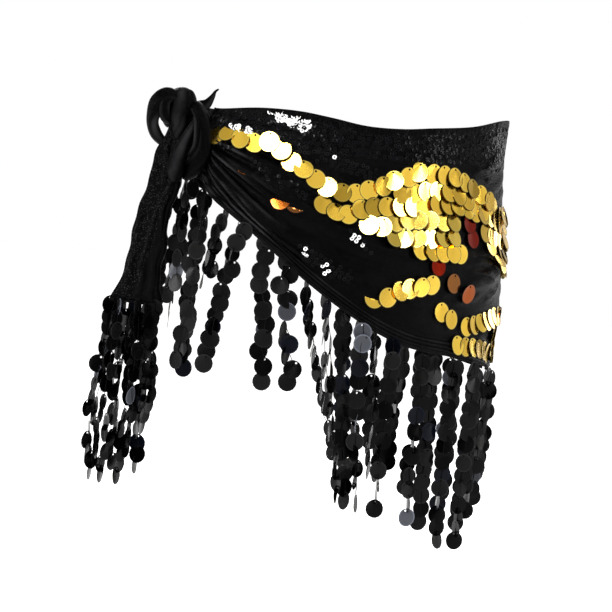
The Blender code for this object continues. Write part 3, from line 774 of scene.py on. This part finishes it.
def make_glitter_cloth():
    """The tie end's cloth: the same stretch cloth covered in tiny black glitter flecks, whose glints are
    painted as paler specks, with its smooth side showing where it folds back at the lower right."""
    material = make_cloth_material("black_glitter_cloth", (0.0003, 0.0003, 0.0004),
                                   (0.0009, 0.0009, 0.0010), 0.28, 0.026, 0.0003, 70)
    tree = material.node_tree
    shader = tree.nodes["Principled BSDF"]
    flecks = add_node(tree, "TexVoronoi", {"Vector": add_node(tree, "TexCoord").outputs["Object"],
                                           "Scale": 700})
    # Painted glints: paler specks in the middle of each glitter fleck.
    fleck_glints = add_ramp(tree, flecks.outputs["Distance"], 0.10, 0.30, (0.050, 0.050, 0.053),
                   (0.0006, 0.0006, 0.0007))
    apart = add_node(tree, "SeparateXYZ", {"Vector": add_node(tree, "UVMap").outputs["UV"]})
    border = add_node(tree, "Math", {0: apart.outputs["Y"], 1: -0.26, 2: apart.outputs["X"]},
                      operation="MULTIPLY_ADD")
    glitters = add_node(tree, "MapRange", {"Value": border.outputs["Value"], "From Min": 0.069,
                                           "From Max": 0.065}).outputs["Result"]
    plain = add_node(tree, "Mix", {"Factor": glitters, MIX_FROM: (0.001, 0.001, 0.0011, 1),
                                   MIX_TO: fleck_glints}, data_type="RGBA")
    rough = add_node(tree, "Bump", {"Height": flecks.outputs["Color"], "Distance": 0.0014,
                                    "Strength": glitters,
                                    "Normal": shader.inputs["Normal"].links[0].from_socket})
    set_inputs(tree, shader, {"Base Color": plain.outputs[MIXED], "Normal": rough.outputs["Normal"]})
    return material


tie_cloth.data.materials.append(make_glitter_cloth())
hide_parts("tie_end")
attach(tie_cloth, "root")


# Paillettes: flat round plastic discs of 20 mm, stamped from film with a hole near the edge.
# One is modelled here and copied for the gold rows and for the black fringe.
PAILLETTE_RADIUS = 10 * MM
PAILLETTE_THICK = 0.3 * MM
HOLE_RADIUS = 1.1 * MM
HOLE_UP = 7.6 * MM
# Painted shadow: the dark brown ring laid at the edge of each disc, where the discs overlap.
EDGE_SHADOW_BROWN = (0.012, 0.007, 0.002, 1)


def stamp_disc(name, sides, radius, rim_up, hole, hole_up, thick):
    """A thin disc with a round hole, cupped where its rim stands higher than its hole."""
    bpy.ops.object.select_all(action="DESELECT")
    bpy.ops.mesh.primitive_circle_add(vertices=sides, radius=radius, location=(0, 0, rim_up))
    disc = bpy.context.object
    disc.name = name
    bpy.ops.object.mode_set(mode="EDIT")
    bpy.ops.mesh.primitive_circle_add(vertices=sides, radius=hole, location=(0, hole_up, 0))
    bpy.ops.mesh.select_all(action="SELECT")
    bpy.ops.mesh.bridge_edge_loops()
    bpy.ops.mesh.select_all(action="SELECT")
    bpy.ops.mesh.extrude_region_move(TRANSFORM_OT_translate={"value": (0, 0, thick)})
    bpy.ops.mesh.select_all(action="SELECT")
    bpy.ops.mesh.normals_make_consistent(inside=False)
    bpy.ops.object.mode_set(mode="OBJECT")
    bpy.ops.object.transform_apply(location=True, rotation=False, scale=False)
    return disc


paillette = stamp_disc("one_paillette", 16, PAILLETTE_RADIUS, 0, HOLE_RADIUS, HOLE_UP, PAILLETTE_THICK)


def lay_paillette(centre, normal, up, yaw, pitch, spin):
    """A paillette's 4 x 4 frame: it faces along normal, turned by small angles in degrees."""
    normal = Vector(normal).normalized()
    up = Vector(up)
    up = (up - normal * up.dot(normal)).normalized()
    right = up.cross(normal)
    base = Matrix((right, up, normal)).transposed().to_4x4()
    turned = Matrix.Rotation(math.radians(yaw), 4, "Y") @ Matrix.Rotation(math.radians(pitch), 4, "X")
    turned = turned @ Matrix.Rotation(math.radians(spin), 4, "Z")
    return np.array(Matrix.Translation(centre) @ base @ turned)


def bend_copies(joined, count, bends):
    """Bends each copied paillette a little about an axis of its own, as film does."""
    mesh = joined.data
    uv = np.empty(len(mesh.loops) * 2)
    mesh.uv_layers.active.data.foreach_get("uv", uv)
    local = np.zeros((len(mesh.vertices), 2))
    local[read_corners(mesh)] = uv.reshape(-1, 2) * 2 - 1
    flat = read_points(mesh)
    for n, (normal, angle, depth) in enumerate(bends):
        part = slice(n * count, (n + 1) * count)
        along = local[part, 0] * math.cos(angle) + local[part, 1] * math.sin(angle)
        flat[part] += np.outer(depth * (along**2 - 0.4), normal)
    mesh.vertices.foreach_set("co", flat.ravel())
    mesh.update()


def tint_copies(joined, count, tints):
    """Gives each copy its own tint, as a colour attribute that the material reads."""
    attribute = joined.data.color_attributes.new("tint", "FLOAT_COLOR", "POINT")
    colours = np.repeat(np.array([(*tint, 1.0) for tint in tints]), count, axis=0)
    attribute.data.foreach_set("color", colours.ravel())


def finish_copies(joined, material, crisp=35):
    """Gives joined discs their film, and shades them smooth but for edges sharper than crisp."""
    joined.data.materials.append(material)
    select_only(joined)
    bpy.ops.object.shade_smooth_by_angle(angle=math.radians(crisp))
    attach(joined, "root")


def make_film_material(name, metallic, roughness, rim, edge, edge_shadow):
    """Stamped film: the tint of each disc, a paler ring inside the rim that is a painted highlight,
    a dark ring at the very edge that is painted shadow where discs overlap, and faint scratches and dust."""
    material, tree, shader = new_material(name, {"Metallic": metallic})
    tint = add_node(tree, "Attribute", attribute_name="tint")
    middle = add_node(tree, "VectorMath", {0: add_node(tree, "UVMap").outputs["UV"], 1: (0.5, 0.5, 0)},
                      operation="DISTANCE").outputs["Value"]
    # Painted highlight: a paler ring just inside the rim.
    rim_highlight_mask = add_node(tree, "MapRange", {"Value": middle, "From Min": 0.42, "From Max": 0.445,
                                         "To Max": edge})
    # Painted shadow: a dark ring at the very edge of each disc.
    edge_shadow_mask = add_node(tree, "MapRange", {"Value": middle, "From Min": 0.455, "From Max": 0.475,
                                         "To Max": edge_shadow})
    coloured = add_node(tree, "Mix", {"Factor": rim_highlight_mask.outputs["Result"], MIX_TO: (*rim, 1),
                                      MIX_FROM: tint.outputs["Color"]},
                        data_type="RGBA", blend_type="MULTIPLY")
    edge_shadowed = add_node(tree, "Mix", {"Factor": edge_shadow_mask.outputs["Result"], MIX_TO: EDGE_SHADOW_BROWN,
                                      MIX_FROM: coloured.outputs[MIXED]}, data_type="RGBA")
    scratches = add_node(tree, "TexNoise", {"Vector": add_node(tree, "TexCoord").outputs["Object"],
                                            "Scale": 700, "Detail": 4}).outputs["Fac"]
    gloss = add_node(tree, "MapRange", {"Value": scratches, "To Min": roughness - 0.06,
                                        "To Max": roughness + 0.10})
    bump = add_node(tree, "Bump", {"Height": scratches, "Distance": 0.00002, "Strength": 0.2})
    set_inputs(tree, shader, {"Base Color": edge_shadowed.outputs[MIXED], "Normal": bump.outputs["Normal"],
                              "Roughness": gloss.outputs["Result"]})
    return material


# Gold paillettes: sewn to the cloth by their holes, in curved rows that overlap like scales.
# Each row is a line through places given as turn and height in millimetres.
Row = namedtuple("Row", "places pitch tint lean")
GOLD = (0.97, 0.62, 0.075)
# Painted light: pale gold is the gold film painted with a highlight, deep gold the same film painted in
# shade.
PAINTED_HIGHLIGHT_GOLD = (0.98, 0.70, 0.12)
PAINTED_SHADE_GOLD = (0.80, 0.52, 0.07)
# Painted reflections: gold discs tinted red, copper, bronze or dark copper, as if mirroring dark red
# surroundings.
PAINTED_COPPER_REFLECTION = (0.45, 0.12, 0.016)
PAINTED_RED_REFLECTION = (0.22, 0.012, 0.003)
PAINTED_BRONZE_REFLECTION = (0.30, 0.115, 0.03)
PAINTED_DARK_COPPER_REFLECTION = (0.19, 0.040, 0.005)
GOLD_ROWS = [Row(*row) for row in [
    ([(166, -28), (150, -26), (138, -28), (128, -45), (112, -64), (103, -59), (86, -38),
      (78, -33), (66, -36), (54, -47), (42, -58)], 14, GOLD, -8),
    ([(90, -57), (76, -50), (62, -55), (46, -70)], 13.5, GOLD, -8),
    ([(117, -79), (110, -86), (101, -74), (83, -67), (72, -63), (50, -68), (30, -76)], 13.5, GOLD, -8),
    ([(100, -91), (95, -91), (88, -82), (66, -78)], 13.5, PAINTED_HIGHLIGHT_GOLD, -8),
    ([(92, -101), (86, -99), (65, -92)], 14, PAINTED_HIGHLIGHT_GOLD, -8),
    ([(82, -110), (64, -107)], 14, GOLD, -8),
    ([(91.6, -156), (84, -146), (75, -139)], 13, PAINTED_SHADE_GOLD, 0),
    ([(70, -165), (63, -174)], 15, GOLD, -8),
    ([(50, -84), (30, -90), (-6, -96)], 13, GOLD, -8),
    ([(46, -98), (28, -104), (-10, -110)], 13, GOLD, -8),
    ([(40, -112), (22, -118), (-14, -124)], 13, GOLD, -8),
    ([(36, -66), (20, -66), (-4, -78)], 13, GOLD, -8),
    ([(56, -177), (46, -173), (30, -166), (6, -164)], 12, GOLD, -8),
    ([(34, -180), (20, -180), (0, -178)], 13, GOLD, -8),
    ([(60, -196), (44, -199), (30, -203), (4, -206)], 13, GOLD, -8),
    ([(28, -192), (12, -194), (-10, -194)], 13, GOLD, -8),
]]
# Strays, some sunk so that their upper part is tucked under a fold of the cloth; all but one are tinted
# with a painted reflection, and that one with painted shade.
Single = namedtuple("Single", "turn height tint lean sink")
SINGLES = [Single(*row) for row in [
    (74, -121, PAINTED_RED_REFLECTION, -8, 0), (58, -91, PAINTED_RED_REFLECTION, -8, 0), (60, -77, PAINTED_RED_REFLECTION, -8, 0), (66, -136, PAINTED_BRONZE_REFLECTION, -6, 0),
    (59, -143, PAINTED_DARK_COPPER_REFLECTION, -12, 0), (95.6, -159, PAINTED_SHADE_GOLD, -26, 3.6),
    (131.5, -78, PAINTED_COPPER_REFLECTION, -30, 5.0), (126, -80, PAINTED_BRONZE_REFLECTION, -34, 6.5), (148, -54, PAINTED_COPPER_REFLECTION, -34, 8.0),
]]
BACK_AT = 49
BACK_SPREAD = 1.1
BACK_FIRST = 4
BACK_ROWS_FIRST = -14
SEWN_REACH = 8 * MM
ROW_LIFT = 0.35 * MM
FLASH_SHARE = 0.94
# Where the cloth leans towards the soft box, the paillettes on it flash: turn, height, reach.
FLASHES = [(139, -27, 9), (133, -38, 8), (118, -58, 7), (92, -45, 8), (85, -39, 6),
           (84, -60, 6), (81, -80, 12), (84, -99, 12), (98, -91, 8)]
flash_normal = (key_side + toward_camera).normalized()


def flashes_near(turn, height, flashes):
    """Those of the flashing places whose reach takes in a place on the cloth."""
    return [flash for flash in flashes
            if math.hypot((turn - flash[0]) * ALONG_PER_DEGREE / MM, height / MM - flash[1]) < flash[2]]


def row_places(row):
    """Evenly spaced places along a row of paillettes, as (turn, height)."""
    stations = np.linspace(0, len(row.places) - 1, 80 * len(row.places))
    Station = namedtuple("Station", "at turn height")
    table = [Station(i, *place) for i, place in enumerate(row.places)]
    turns = read_column(table, "at", "turn", stations)
    heights = read_column(table, "at", "height", stations) * MM
    steps = np.linalg.norm(np.diff(hip_points(turns, heights), axis=0), axis=1)
    far = np.concatenate([[0], np.cumsum(steps)])
    places = np.arange(0, far[-1] + row.pitch * MM / 3, row.pitch * MM)
    return [(float(np.interp(at, far, turns)), float(np.interp(at, far, heights))) for at in places]


def facing_at(turn, height):
    """Outward normal and upward direction of the cloth, smoothed over a paillette's width."""
    reach = 5 * MM
    across = reach / ALONG_PER_DEGREE
    turns = np.array([turn + across, turn - across, turn, turn])
    heights = np.array([height, height, height + reach, height - reach])
    left, right, upper, lower = cloth_points(turns, heights)
    up = Vector(upper - lower).normalized()
    normal = Vector(right - left).cross(up).normalized()
    return normal, up


def sew_on(turn, height, lean, yaw, spin, flashing):
    """A paillette's frame, just clear of the cloth all over."""
    normal, up = facing_at(turn, height)
    if flashing > 0:
        normal = normal.lerp(flash_normal, flashing).normalized()
        lean, yaw = lean * (1 - flashing), yaw * (1 - flashing)
    centre = Vector(hip_points(turn, height))
    around = np.linspace(0, 2 * math.pi, 8, endpoint=False)
    turns = turn + np.append(np.cos(around) * SEWN_REACH / ALONG_PER_DEGREE, 0)
    heights = height + np.append(np.sin(around) * SEWN_REACH, 0)
    laid = lay_paillette(centre, normal, up, yaw, lean, spin)
    faced = laid[:3, 2]
    clear = max((cloth_points(turns, heights, CLOTH) - np.array(centre)) @ faced)
    laid[:3, 3] += faced * (clear + ROW_LIFT)
    return laid, faced


def tone_of(tint, dice):
    """A tint made a little lighter or darker, and now and then much deeper."""
    share = dice.uniform(0.88, 1.08)
    if dice.random() < 0.10:
        share *= 0.55
    return tuple(min(1.0, channel * share) for channel in tint)


dice = random.Random(5)
gold_frames, gold_bends, gold_tints = [], [], []
back_rows = [row._replace(places=[(BACK_AT - BACK_SPREAD * turn, height) for turn, height in row.places])
             for row in GOLD_ROWS]
for single in SINGLES:
    laid, faced = sew_on(single.turn, single.height * MM, single.lean, 4, dice.uniform(-9, 9), 0.0)
    laid[:3, 3] -= faced * single.sink * MM
    gold_frames.append(laid)
    gold_bends.append((faced, dice.uniform(0, math.pi), 0.5 * MM))
    gold_tints.append(single.tint)
for rank, row in enumerate(GOLD_ROWS + back_rows):
    for turn, height in row_places(row):
        if rank >= len(GOLD_ROWS) and turn > BACK_ROWS_FIRST:
            continue
        flashing = FLASH_SHARE if flashes_near(turn, height, FLASHES) else 0.0
        slow = math.sin(turn * 0.11 + height * 40) * 5 + math.sin(turn * 0.31 + 2) * 3
        lean = row.lean + slow + dice.uniform(-4, 4)
        yaw = 4 + dice.uniform(-6, 6)
        laid, faced = sew_on(turn, height, lean, yaw, dice.uniform(-14, 14), flashing)
        laid[:3, 3] += faced * (rank % 3) * ROW_LIFT
        gold_frames.append(laid)
        bend = dice.choice((0.25, 0.5, 0.9)) * MM * (0.4 if flashing else 1)
        gold_bends.append((faced, dice.uniform(0, math.pi), bend * dice.choice((-0.5, 1))))
        gold_tints.append(tone_of(row.tint, dice))


def make_gold(name, source, chosen):
    """The chosen gold paillettes, as copies of one shape, bent and tinted."""
    count = len(source.data.vertices)
    made = copy_joined(name, source, [gold_frames[n] for n in chosen])
    bend_copies(made, count, [gold_bends[n] for n in chosen])
    tint_copies(made, count, [gold_tints[n] for n in chosen])
    press_into_cloth(made, source)
    return made


def press_into_cloth(discs, source):
    """Presses what lies deeper than the middle of the wall back to it, so that a tucked
    paillette ends inside the fold and doesn't come out behind it."""
    points = read_points(discs.data)
    heights = points[:, 2].copy()
    turns = np.degrees(np.arctan2(-points[:, 1] / HIP_HALF[1], points[:, 0] / HIP_HALF[0]))
    for _ in range(4):
        base = hip_points(turns, heights)
        ahead = hip_points(turns + 1, heights) - base
        turns = turns + ((points - base) * ahead).sum(axis=1) / (ahead * ahead).sum(axis=1)
    away = hip_points(turns, heights, 1.0) - hip_points(turns, heights)
    thick = read_points(source.data)[:, 2]
    thick = np.tile(thick, len(points) // len(thick))
    middle = cloth_points(turns, heights, CLOTH / 2 + thick - PAILLETTE_THICK / 2)
    deep = np.maximum(((middle - points) * away).sum(axis=1), 0)
    points += away * deep[:, None]
    discs.data.vertices.foreach_set("co", points.ravel())
    discs.data.update()


fine_paillette = paillette.copy()
fine_paillette.data = paillette.data.copy()
bpy.context.collection.objects.link(fine_paillette)
select_only(fine_paillette)
bpy.ops.object.mode_set(mode="EDIT")
bpy.ops.mesh.select_all(action="SELECT")
bpy.ops.mesh.subdivide(number_cuts=7)
bpy.ops.object.mode_set(mode="OBJECT")
tucked = [n for n, single in enumerate(SINGLES) if single.sink]
flat_on = [n for n in range(len(gold_frames)) if n not in tucked]
gold_paillettes = make_gold("gold_paillettes", paillette, flat_on)
tucked_paillettes = make_gold("tucked_paillettes", fine_paillette, tucked)
select_only(gold_paillettes)
tucked_paillettes.select_set(True)
bpy.ops.object.join()
bpy.data.objects.remove(fine_paillette)
# Gold film with a painted rim highlight and a painted edge shadow.
gold_film = make_film_material("gold_film", 1.0, 0.15, (1.03, 1.28, 2.6), 0.6, 0.8)
finish_copies(gold_paillettes, gold_film, crisp=15)


# Small sequins: cupped black discs of 4 mm, sewn in close lines over parts of the cloth, most
#  of all below the waist. Here and there one is tilted to the soft box and tinted near-white, a painted
#  highlight.
SEQUIN_RADIUS = 2.1 * MM
SEQUIN_HOLE = 0.36 * SEQUIN_RADIUS
SEQUIN_CUP = 0.12 * MM
SEQUIN_THICK = 0.15 * MM
Patch = namedtuple("Patch", "turn top to_turn to_top lines spacing pitch kept")
PATCHES = [Patch(*row) for row in [
    (172, -5, 14, 24, 9, 4.1, 4.1, 0.86), (162, -10, 132, -16, 3, 4.6, 4.4, 0.9),
    (159, -13, 147, -16, 3, 2.6, 3.3, 0.9), (143, 6, 125, -1, 5, 2.6, 3.3, 0.95),
    (146, -44, 122, -66, 3, 4.6, 4.4, 0.7), (121, -28, 98, -38, 3, 4.6, 4.4, 0.8),
    (122, -118, 103, -138, 3, 4.8, 4.4, 0.7), (107, -98, 98, -112, 2, 4.6, 4.4, 0.9),
    (120, -126, 110, -140, 2, 4.6, 4.4, 0.9), (50, 8, 14, 20, 8, 4.6, 4.4, 0.85),
    (14, 18, -170, -6, 7, 5.0, 4.6, 0.62), (-30, -70, -80, -76, 3, 4.8, 4.6, 0.7),
    (-90, -40, -150, -34, 3, 4.8, 4.6, 0.7),
]]
SEQUIN_FLASHES = [(158, -15, 3), (154, -17, 5), (149, -18, 4), (142, 4, 3), (138, 2, 6), (133, 0, 7),
                  (128, -4, 6), (121, -124, 5), (113, -136, 5), (104, -106, 6), (116, -30, 3)]

sequin = stamp_disc("one_sequin", 8, SEQUIN_RADIUS, SEQUIN_CUP, SEQUIN_HOLE, 0, -SEQUIN_THICK)
BLACK_SEQUIN = (0.0025, 0.0025, 0.003)
# Painted highlight: the near-white tint of a black sequin that catches the soft box.
PAINTED_GLINT_SEQUIN = (0.75, 0.75, 0.74)
sequin_frames, sequin_tints = [], []
for patch in PATCHES:
    span = abs(patch.turn - patch.to_turn)
    count = int(span * ALONG_PER_DEGREE / (patch.pitch * MM))
    for line in range(patch.lines):
        for k in range(count):
            if dice.random() > patch.kept:
                continue
            share = (k + 0.5 * (line % 2)) / count
            turn = patch.turn + (patch.to_turn - patch.turn) * share
            height = (patch.top + (patch.to_top - patch.top) * share - line * patch.spacing) * MM
            height += dice.uniform(-0.9, 0.9) * MM
            turn += dice.uniform(-0.35, 0.35)
            if not hem_height(turn) + HEM_WIDTH < height < waist_height(turn) - 3 * MM:
                continue
            normal, up = facing_at(turn, height)
            loose, tint = 6, BLACK_SEQUIN
            for _ in flashes_near(turn, height, SEQUIN_FLASHES):
                if dice.random() < 0.85:
                    normal = normal.lerp(flash_normal, 0.9).normalized()
                    loose, tint = 3, PAINTED_GLINT_SEQUIN
            place = Vector(cloth_points(turn, height, CLOTH + 0.2 * MM))
            sequin_frames.append(lay_paillette(place, normal, up, dice.uniform(-loose, loose),
                                               dice.uniform(-loose, loose), 0))
            sequin_tints.append(tone_of(tint, dice))
# Black film with a painted rim highlight and no painted edge shadow.
black_film = make_film_material("black_film", 0.0, 0.20, (2.2, 2.2, 2.3), 0.8, 0.0)
set_inputs(black_film.node_tree, black_film.node_tree.nodes["Principled BSDF"],
           {"Specular IOR Level": 0.055})
small_sequins = copy_joined("small_sequins", sequin, sequin_frames)
tint_copies(small_sequins, len(sequin.data.vertices), sequin_tints)
finish_copies(small_sequins, black_film)
bpy.data.objects.remove(sequin)


# Fringe: black thread hangs from a narrow tape under each hem, with black paillettes knotted
# onto it, most overlapping, some with bare thread between them, each turned as it likes.
THREAD_RADIUS = 0.38 * MM
SWING_CURVE = 1.3
FAN_OUT = 13 * MM
Manner = namedtuple("Manner", "pitch sway yaw stray curl bare gap")
LOOSE = Manner(13.4, 5.2, 14, 0.14, 0.06, (2, 3, 4, 5), (5, 12))
CLOSE = Manner(12.6, 1.8, 18, 0.14, 0.50, (3, 5, 6, 7), (3, 9))
THIN = Manner(11.8, 1.8, 16, 0.20, 0.60, (3, 4, 5), (4, 9))
BEHIND = Manner(13.0, 1.2, 18, 0.30, 0.10, (4, 5, 6), (5, 9))
FRINGE_SIZE = 0.90
LOOSE_FROM = 116
STRAY_TURN = 66
ROOT_DROP = Vector((0, 0, 1.5 * MM))
TAPE_CORDS, TAPE_UP, TAPE_STEP = 6, 1.3, 0.55
Strand = namedtuple("Strand", "turn length swing out turned")
FRONT_STRANDS = [Strand(*row) for row in [
    (173, 112, 1, 13, 6), (166, 184, 2, 0, -10), (160, 168, 0, 15, 8), (152, 80, -13, 0, -12),
    (144, 147, -16, 6, 5), (135, 142, 21, 1, 10), (126, 122, 20, 8, -8), (118, 152, 37, 6, 66),
    (111, 195, 34, 13, 74), (105, 191, 27, 0, 10), (99, 182, 17, 8, -8), (93, 142, 11, 0, 55),
    (88, 172, 5, 8, -6), (82, 122, -3, 0, 12), (76, 171, 4, 8, -10), (69, 174, 7, 0, -14),
    (63, 189, 7, 8, -12), (57, 142, 2, 0, -16), (50, 187, 3, 8, -22), (42, 156, 7, 0, -22),
    (34, 133, -4, 8, -20), (26, 140, 3, 0, -16), (17, 122, -2, 6, -12),
]]
BACK_SHORTER = 0.94
SIDE_STRANDS = [Strand(*row) for row in [
    (-147, 150, -6, 0, 10), (-154, 176, 0, 15, -12), (-161, 128, -4, 0, 12),
    (-168, 164, -2, 14, 16),
]]
TIE_STRANDS = [Strand(*row) for row in [
    (0.07, 118, -12, -5, 20), (0.12, 160, -9, 4, -58), (0.22, 176, -6, 13, 56),
    (0.30, 181, -2, -14, 62), (0.39, 166, 2, -5, -66), (0.50, 178, 7, 3, -48),
    (0.61, 150, 9, 13, 60), (0.69, 168, 13, -14, -20), (0.79, 128, 12, -5, 58),
    (0.92, 106, 12, 5, -24),
]]
# Tones of the black film, chosen at random; the last, pale blue-grey one is a painted reflection for
# discs that catch the light.
BLACKS_AND_PAINTED_REFLECTION = [(0.0025, 0.0025, 0.0026), (0.0004, 0.0004, 0.0005), (0.0065, 0.0065, 0.0064),
          (0.0020, 0.0025, 0.0050), (0.050, 0.053, 0.062)]
BLACK_SHARES = [40, 34, 20, 4, 2.0]


def hem_root(turn):
    """A strand's root under the hem, and the way out from the hips there."""
    height = hem_height(turn)
    outward = Vector(hip_points(turn, height, 1.0) - hip_points(turn, height)).normalized()
    return Vector(cloth_points(turn, height, CLOTH)) - ROOT_DROP, outward


def tie_root(share):
    return tie_point(share * TIE_FRONT_SHARE, TIE_LEVELS[-1].up) - ROOT_DROP, KNOT_FRONT


def sweep_thread(name, lines, radius, sides=5):
    """Thin tubes along lists of points, all in one mesh."""
    points, faces = [], []
    for line in lines:
        faces += tube_faces(len(points), len(line) - 1, sides)
        for i, point in enumerate(line):
            ahead = Vector(line[min(i + 1, len(line) - 1)]) - Vector(line[max(i - 1, 0)])
            side = ahead.cross(Vector((0.3, 0.2, 0.93))).normalized()
            if side.length < 0.5:
                side = Vector((1, 0, 0))
            other = side.cross(ahead).normalized()
            for k in range(sides):
                angle = 2 * math.pi * k / sides
                away = side * math.cos(angle) + other * math.sin(angle)
                points.append(tuple(Vector(point) + away * radius))
    thread = add_mesh(name, points, faces)
    smooth_outwards(thread)
    thread.data.materials.append(black_thread)
    return thread


def strand_centre(root, outward, strand, down):
    """A place down a strand, which swings aside and hangs a little away from the hips."""
    drop = math.sqrt(strand.length**2 - strand.swing**2) * MM
    share = down / drop
    aside = SWING * strand.swing * MM * share**SWING_CURVE
    return root + aside + outward * strand.out * MM * min(1, down / FAN_OUT) - Vector((0, 0, down))


def make_strands(name, root_of, strands, tape, start, manner_of):
    """The paillettes and threads of one fringe."""
    frames, bends = [], []
    lines = [[point + Vector((0, 0, (TAPE_UP - TAPE_STEP * k) * MM)) for point in tape]
             for k in range(TAPE_CORDS)]
    smaller = np.diag([FRINGE_SIZE, FRINGE_SIZE, 1, 1])
    for strand in strands:
        root, outward = root_of(strand.turn)
        manner = manner_of(strand)
        drop = math.sqrt(strand.length**2 - strand.swing**2) * MM
        first, last = PAILLETTE_RADIUS * dice.uniform(*start), drop - PAILLETTE_RADIUS * 0.85
        downs = [first]
        bare = dice.choice(manner.bare)
        while downs[-1] < last:
            step = manner.pitch * dice.uniform(0.9, 1.1)
            if len(downs) >= bare and last - downs[-1] > 2.6 * step * MM:
                step += dice.uniform(*manner.gap)
                bare += dice.choice(manner.bare)
            downs.append(downs[-1] + step * MM)
        fitted = (last - first) / (downs[-1] - first)
        turned = strand.turned + dice.uniform(-6, 6)
        hung = [root]
        for count, reached in enumerate(downs):
            centre = strand_centre(root, outward, strand, first + (reached - first) * fitted)
            turned += dice.uniform(-manner.yaw, manner.yaw)
            turned += (strand.turned - turned) * 0.25
            strays = dice.random() < manner.stray + manner.curl * count / len(downs)
            shown = dice.choice((-STRAY_TURN, STRAY_TURN)) + dice.uniform(-8, 8) if strays else turned
            facing = Matrix.Rotation(math.radians(shown), 3, "Z") @ outward
            sideways = Vector((0, 0, 1)).cross(outward) * dice.uniform(-1, 1) * manner.sway * MM
            layer = 0.5 * MM if count % 2 else -0.5 * MM
            frames.append(lay_paillette(centre + sideways + facing * layer, facing, Vector((0, 0, 1)),
                                        dice.uniform(-5, 5), dice.uniform(-8, 4),
                                        dice.uniform(-25, 25)) @ smaller)
            bends.append((np.array(facing), dice.uniform(0, math.pi), dice.uniform(0.2, 1.0) * MM))
            hung.append(centre + sideways * 0.8 + facing * 0.1 * MM + Vector((0, 0, HOLE_UP)))
        lines.append(hung)
    discs = copy_joined(name + "_paillettes", paillette, frames)
    bend_copies(discs, len(paillette.data.vertices), bends)
    tint_copies(discs, len(paillette.data.vertices),
                [tone_of(dice.choices(BLACKS_AND_PAINTED_REFLECTION, BLACK_SHARES)[0], dice) for _ in frames])
    finish_copies(discs, black_film)
    threads = sweep_thread(name + "_threads", lines, THREAD_RADIUS)
    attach(threads, "root")
    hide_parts(name)
    return discs, threads


def front_manner(strand):
    return LOOSE if strand.turn > LOOSE_FROM else CLOSE


back_strands = list(SIDE_STRANDS)
for strand in FRONT_STRANDS:
    across = BACK_AT - BACK_SPREAD * strand.turn
    if across < BACK_FIRST:
        back_strands.append(strand._replace(turn=across, length=strand.length * BACK_SHORTER,
                                            turned=strand.turned + dice.choice((-50, -35, 40, 55))))
front_tape = [hem_root(turn)[0] for turn in np.linspace(10, 175, 90)]
back_tape = [hem_root(turn)[0] for turn in np.linspace(-175, 6, 90)]
tie_tape = [tie_root(share)[0] for share in np.linspace(0, 1, 40)]
front_discs, front_threads = make_strands("fringe_front", hem_root, FRONT_STRANDS, front_tape,
                                          (0.7, 1.5), front_manner)
back_discs, back_threads = make_strands("fringe_back", hem_root, back_strands, back_tape,
                                        (0.7, 1.5), lambda strand: BEHIND)
tie_discs, tie_threads = make_strands("fringe_tie", tie_root, TIE_STRANDS, tie_tape,
                                      (0.4, 0.8), lambda strand: THIN)
bpy.data.objects.remove(paillette)
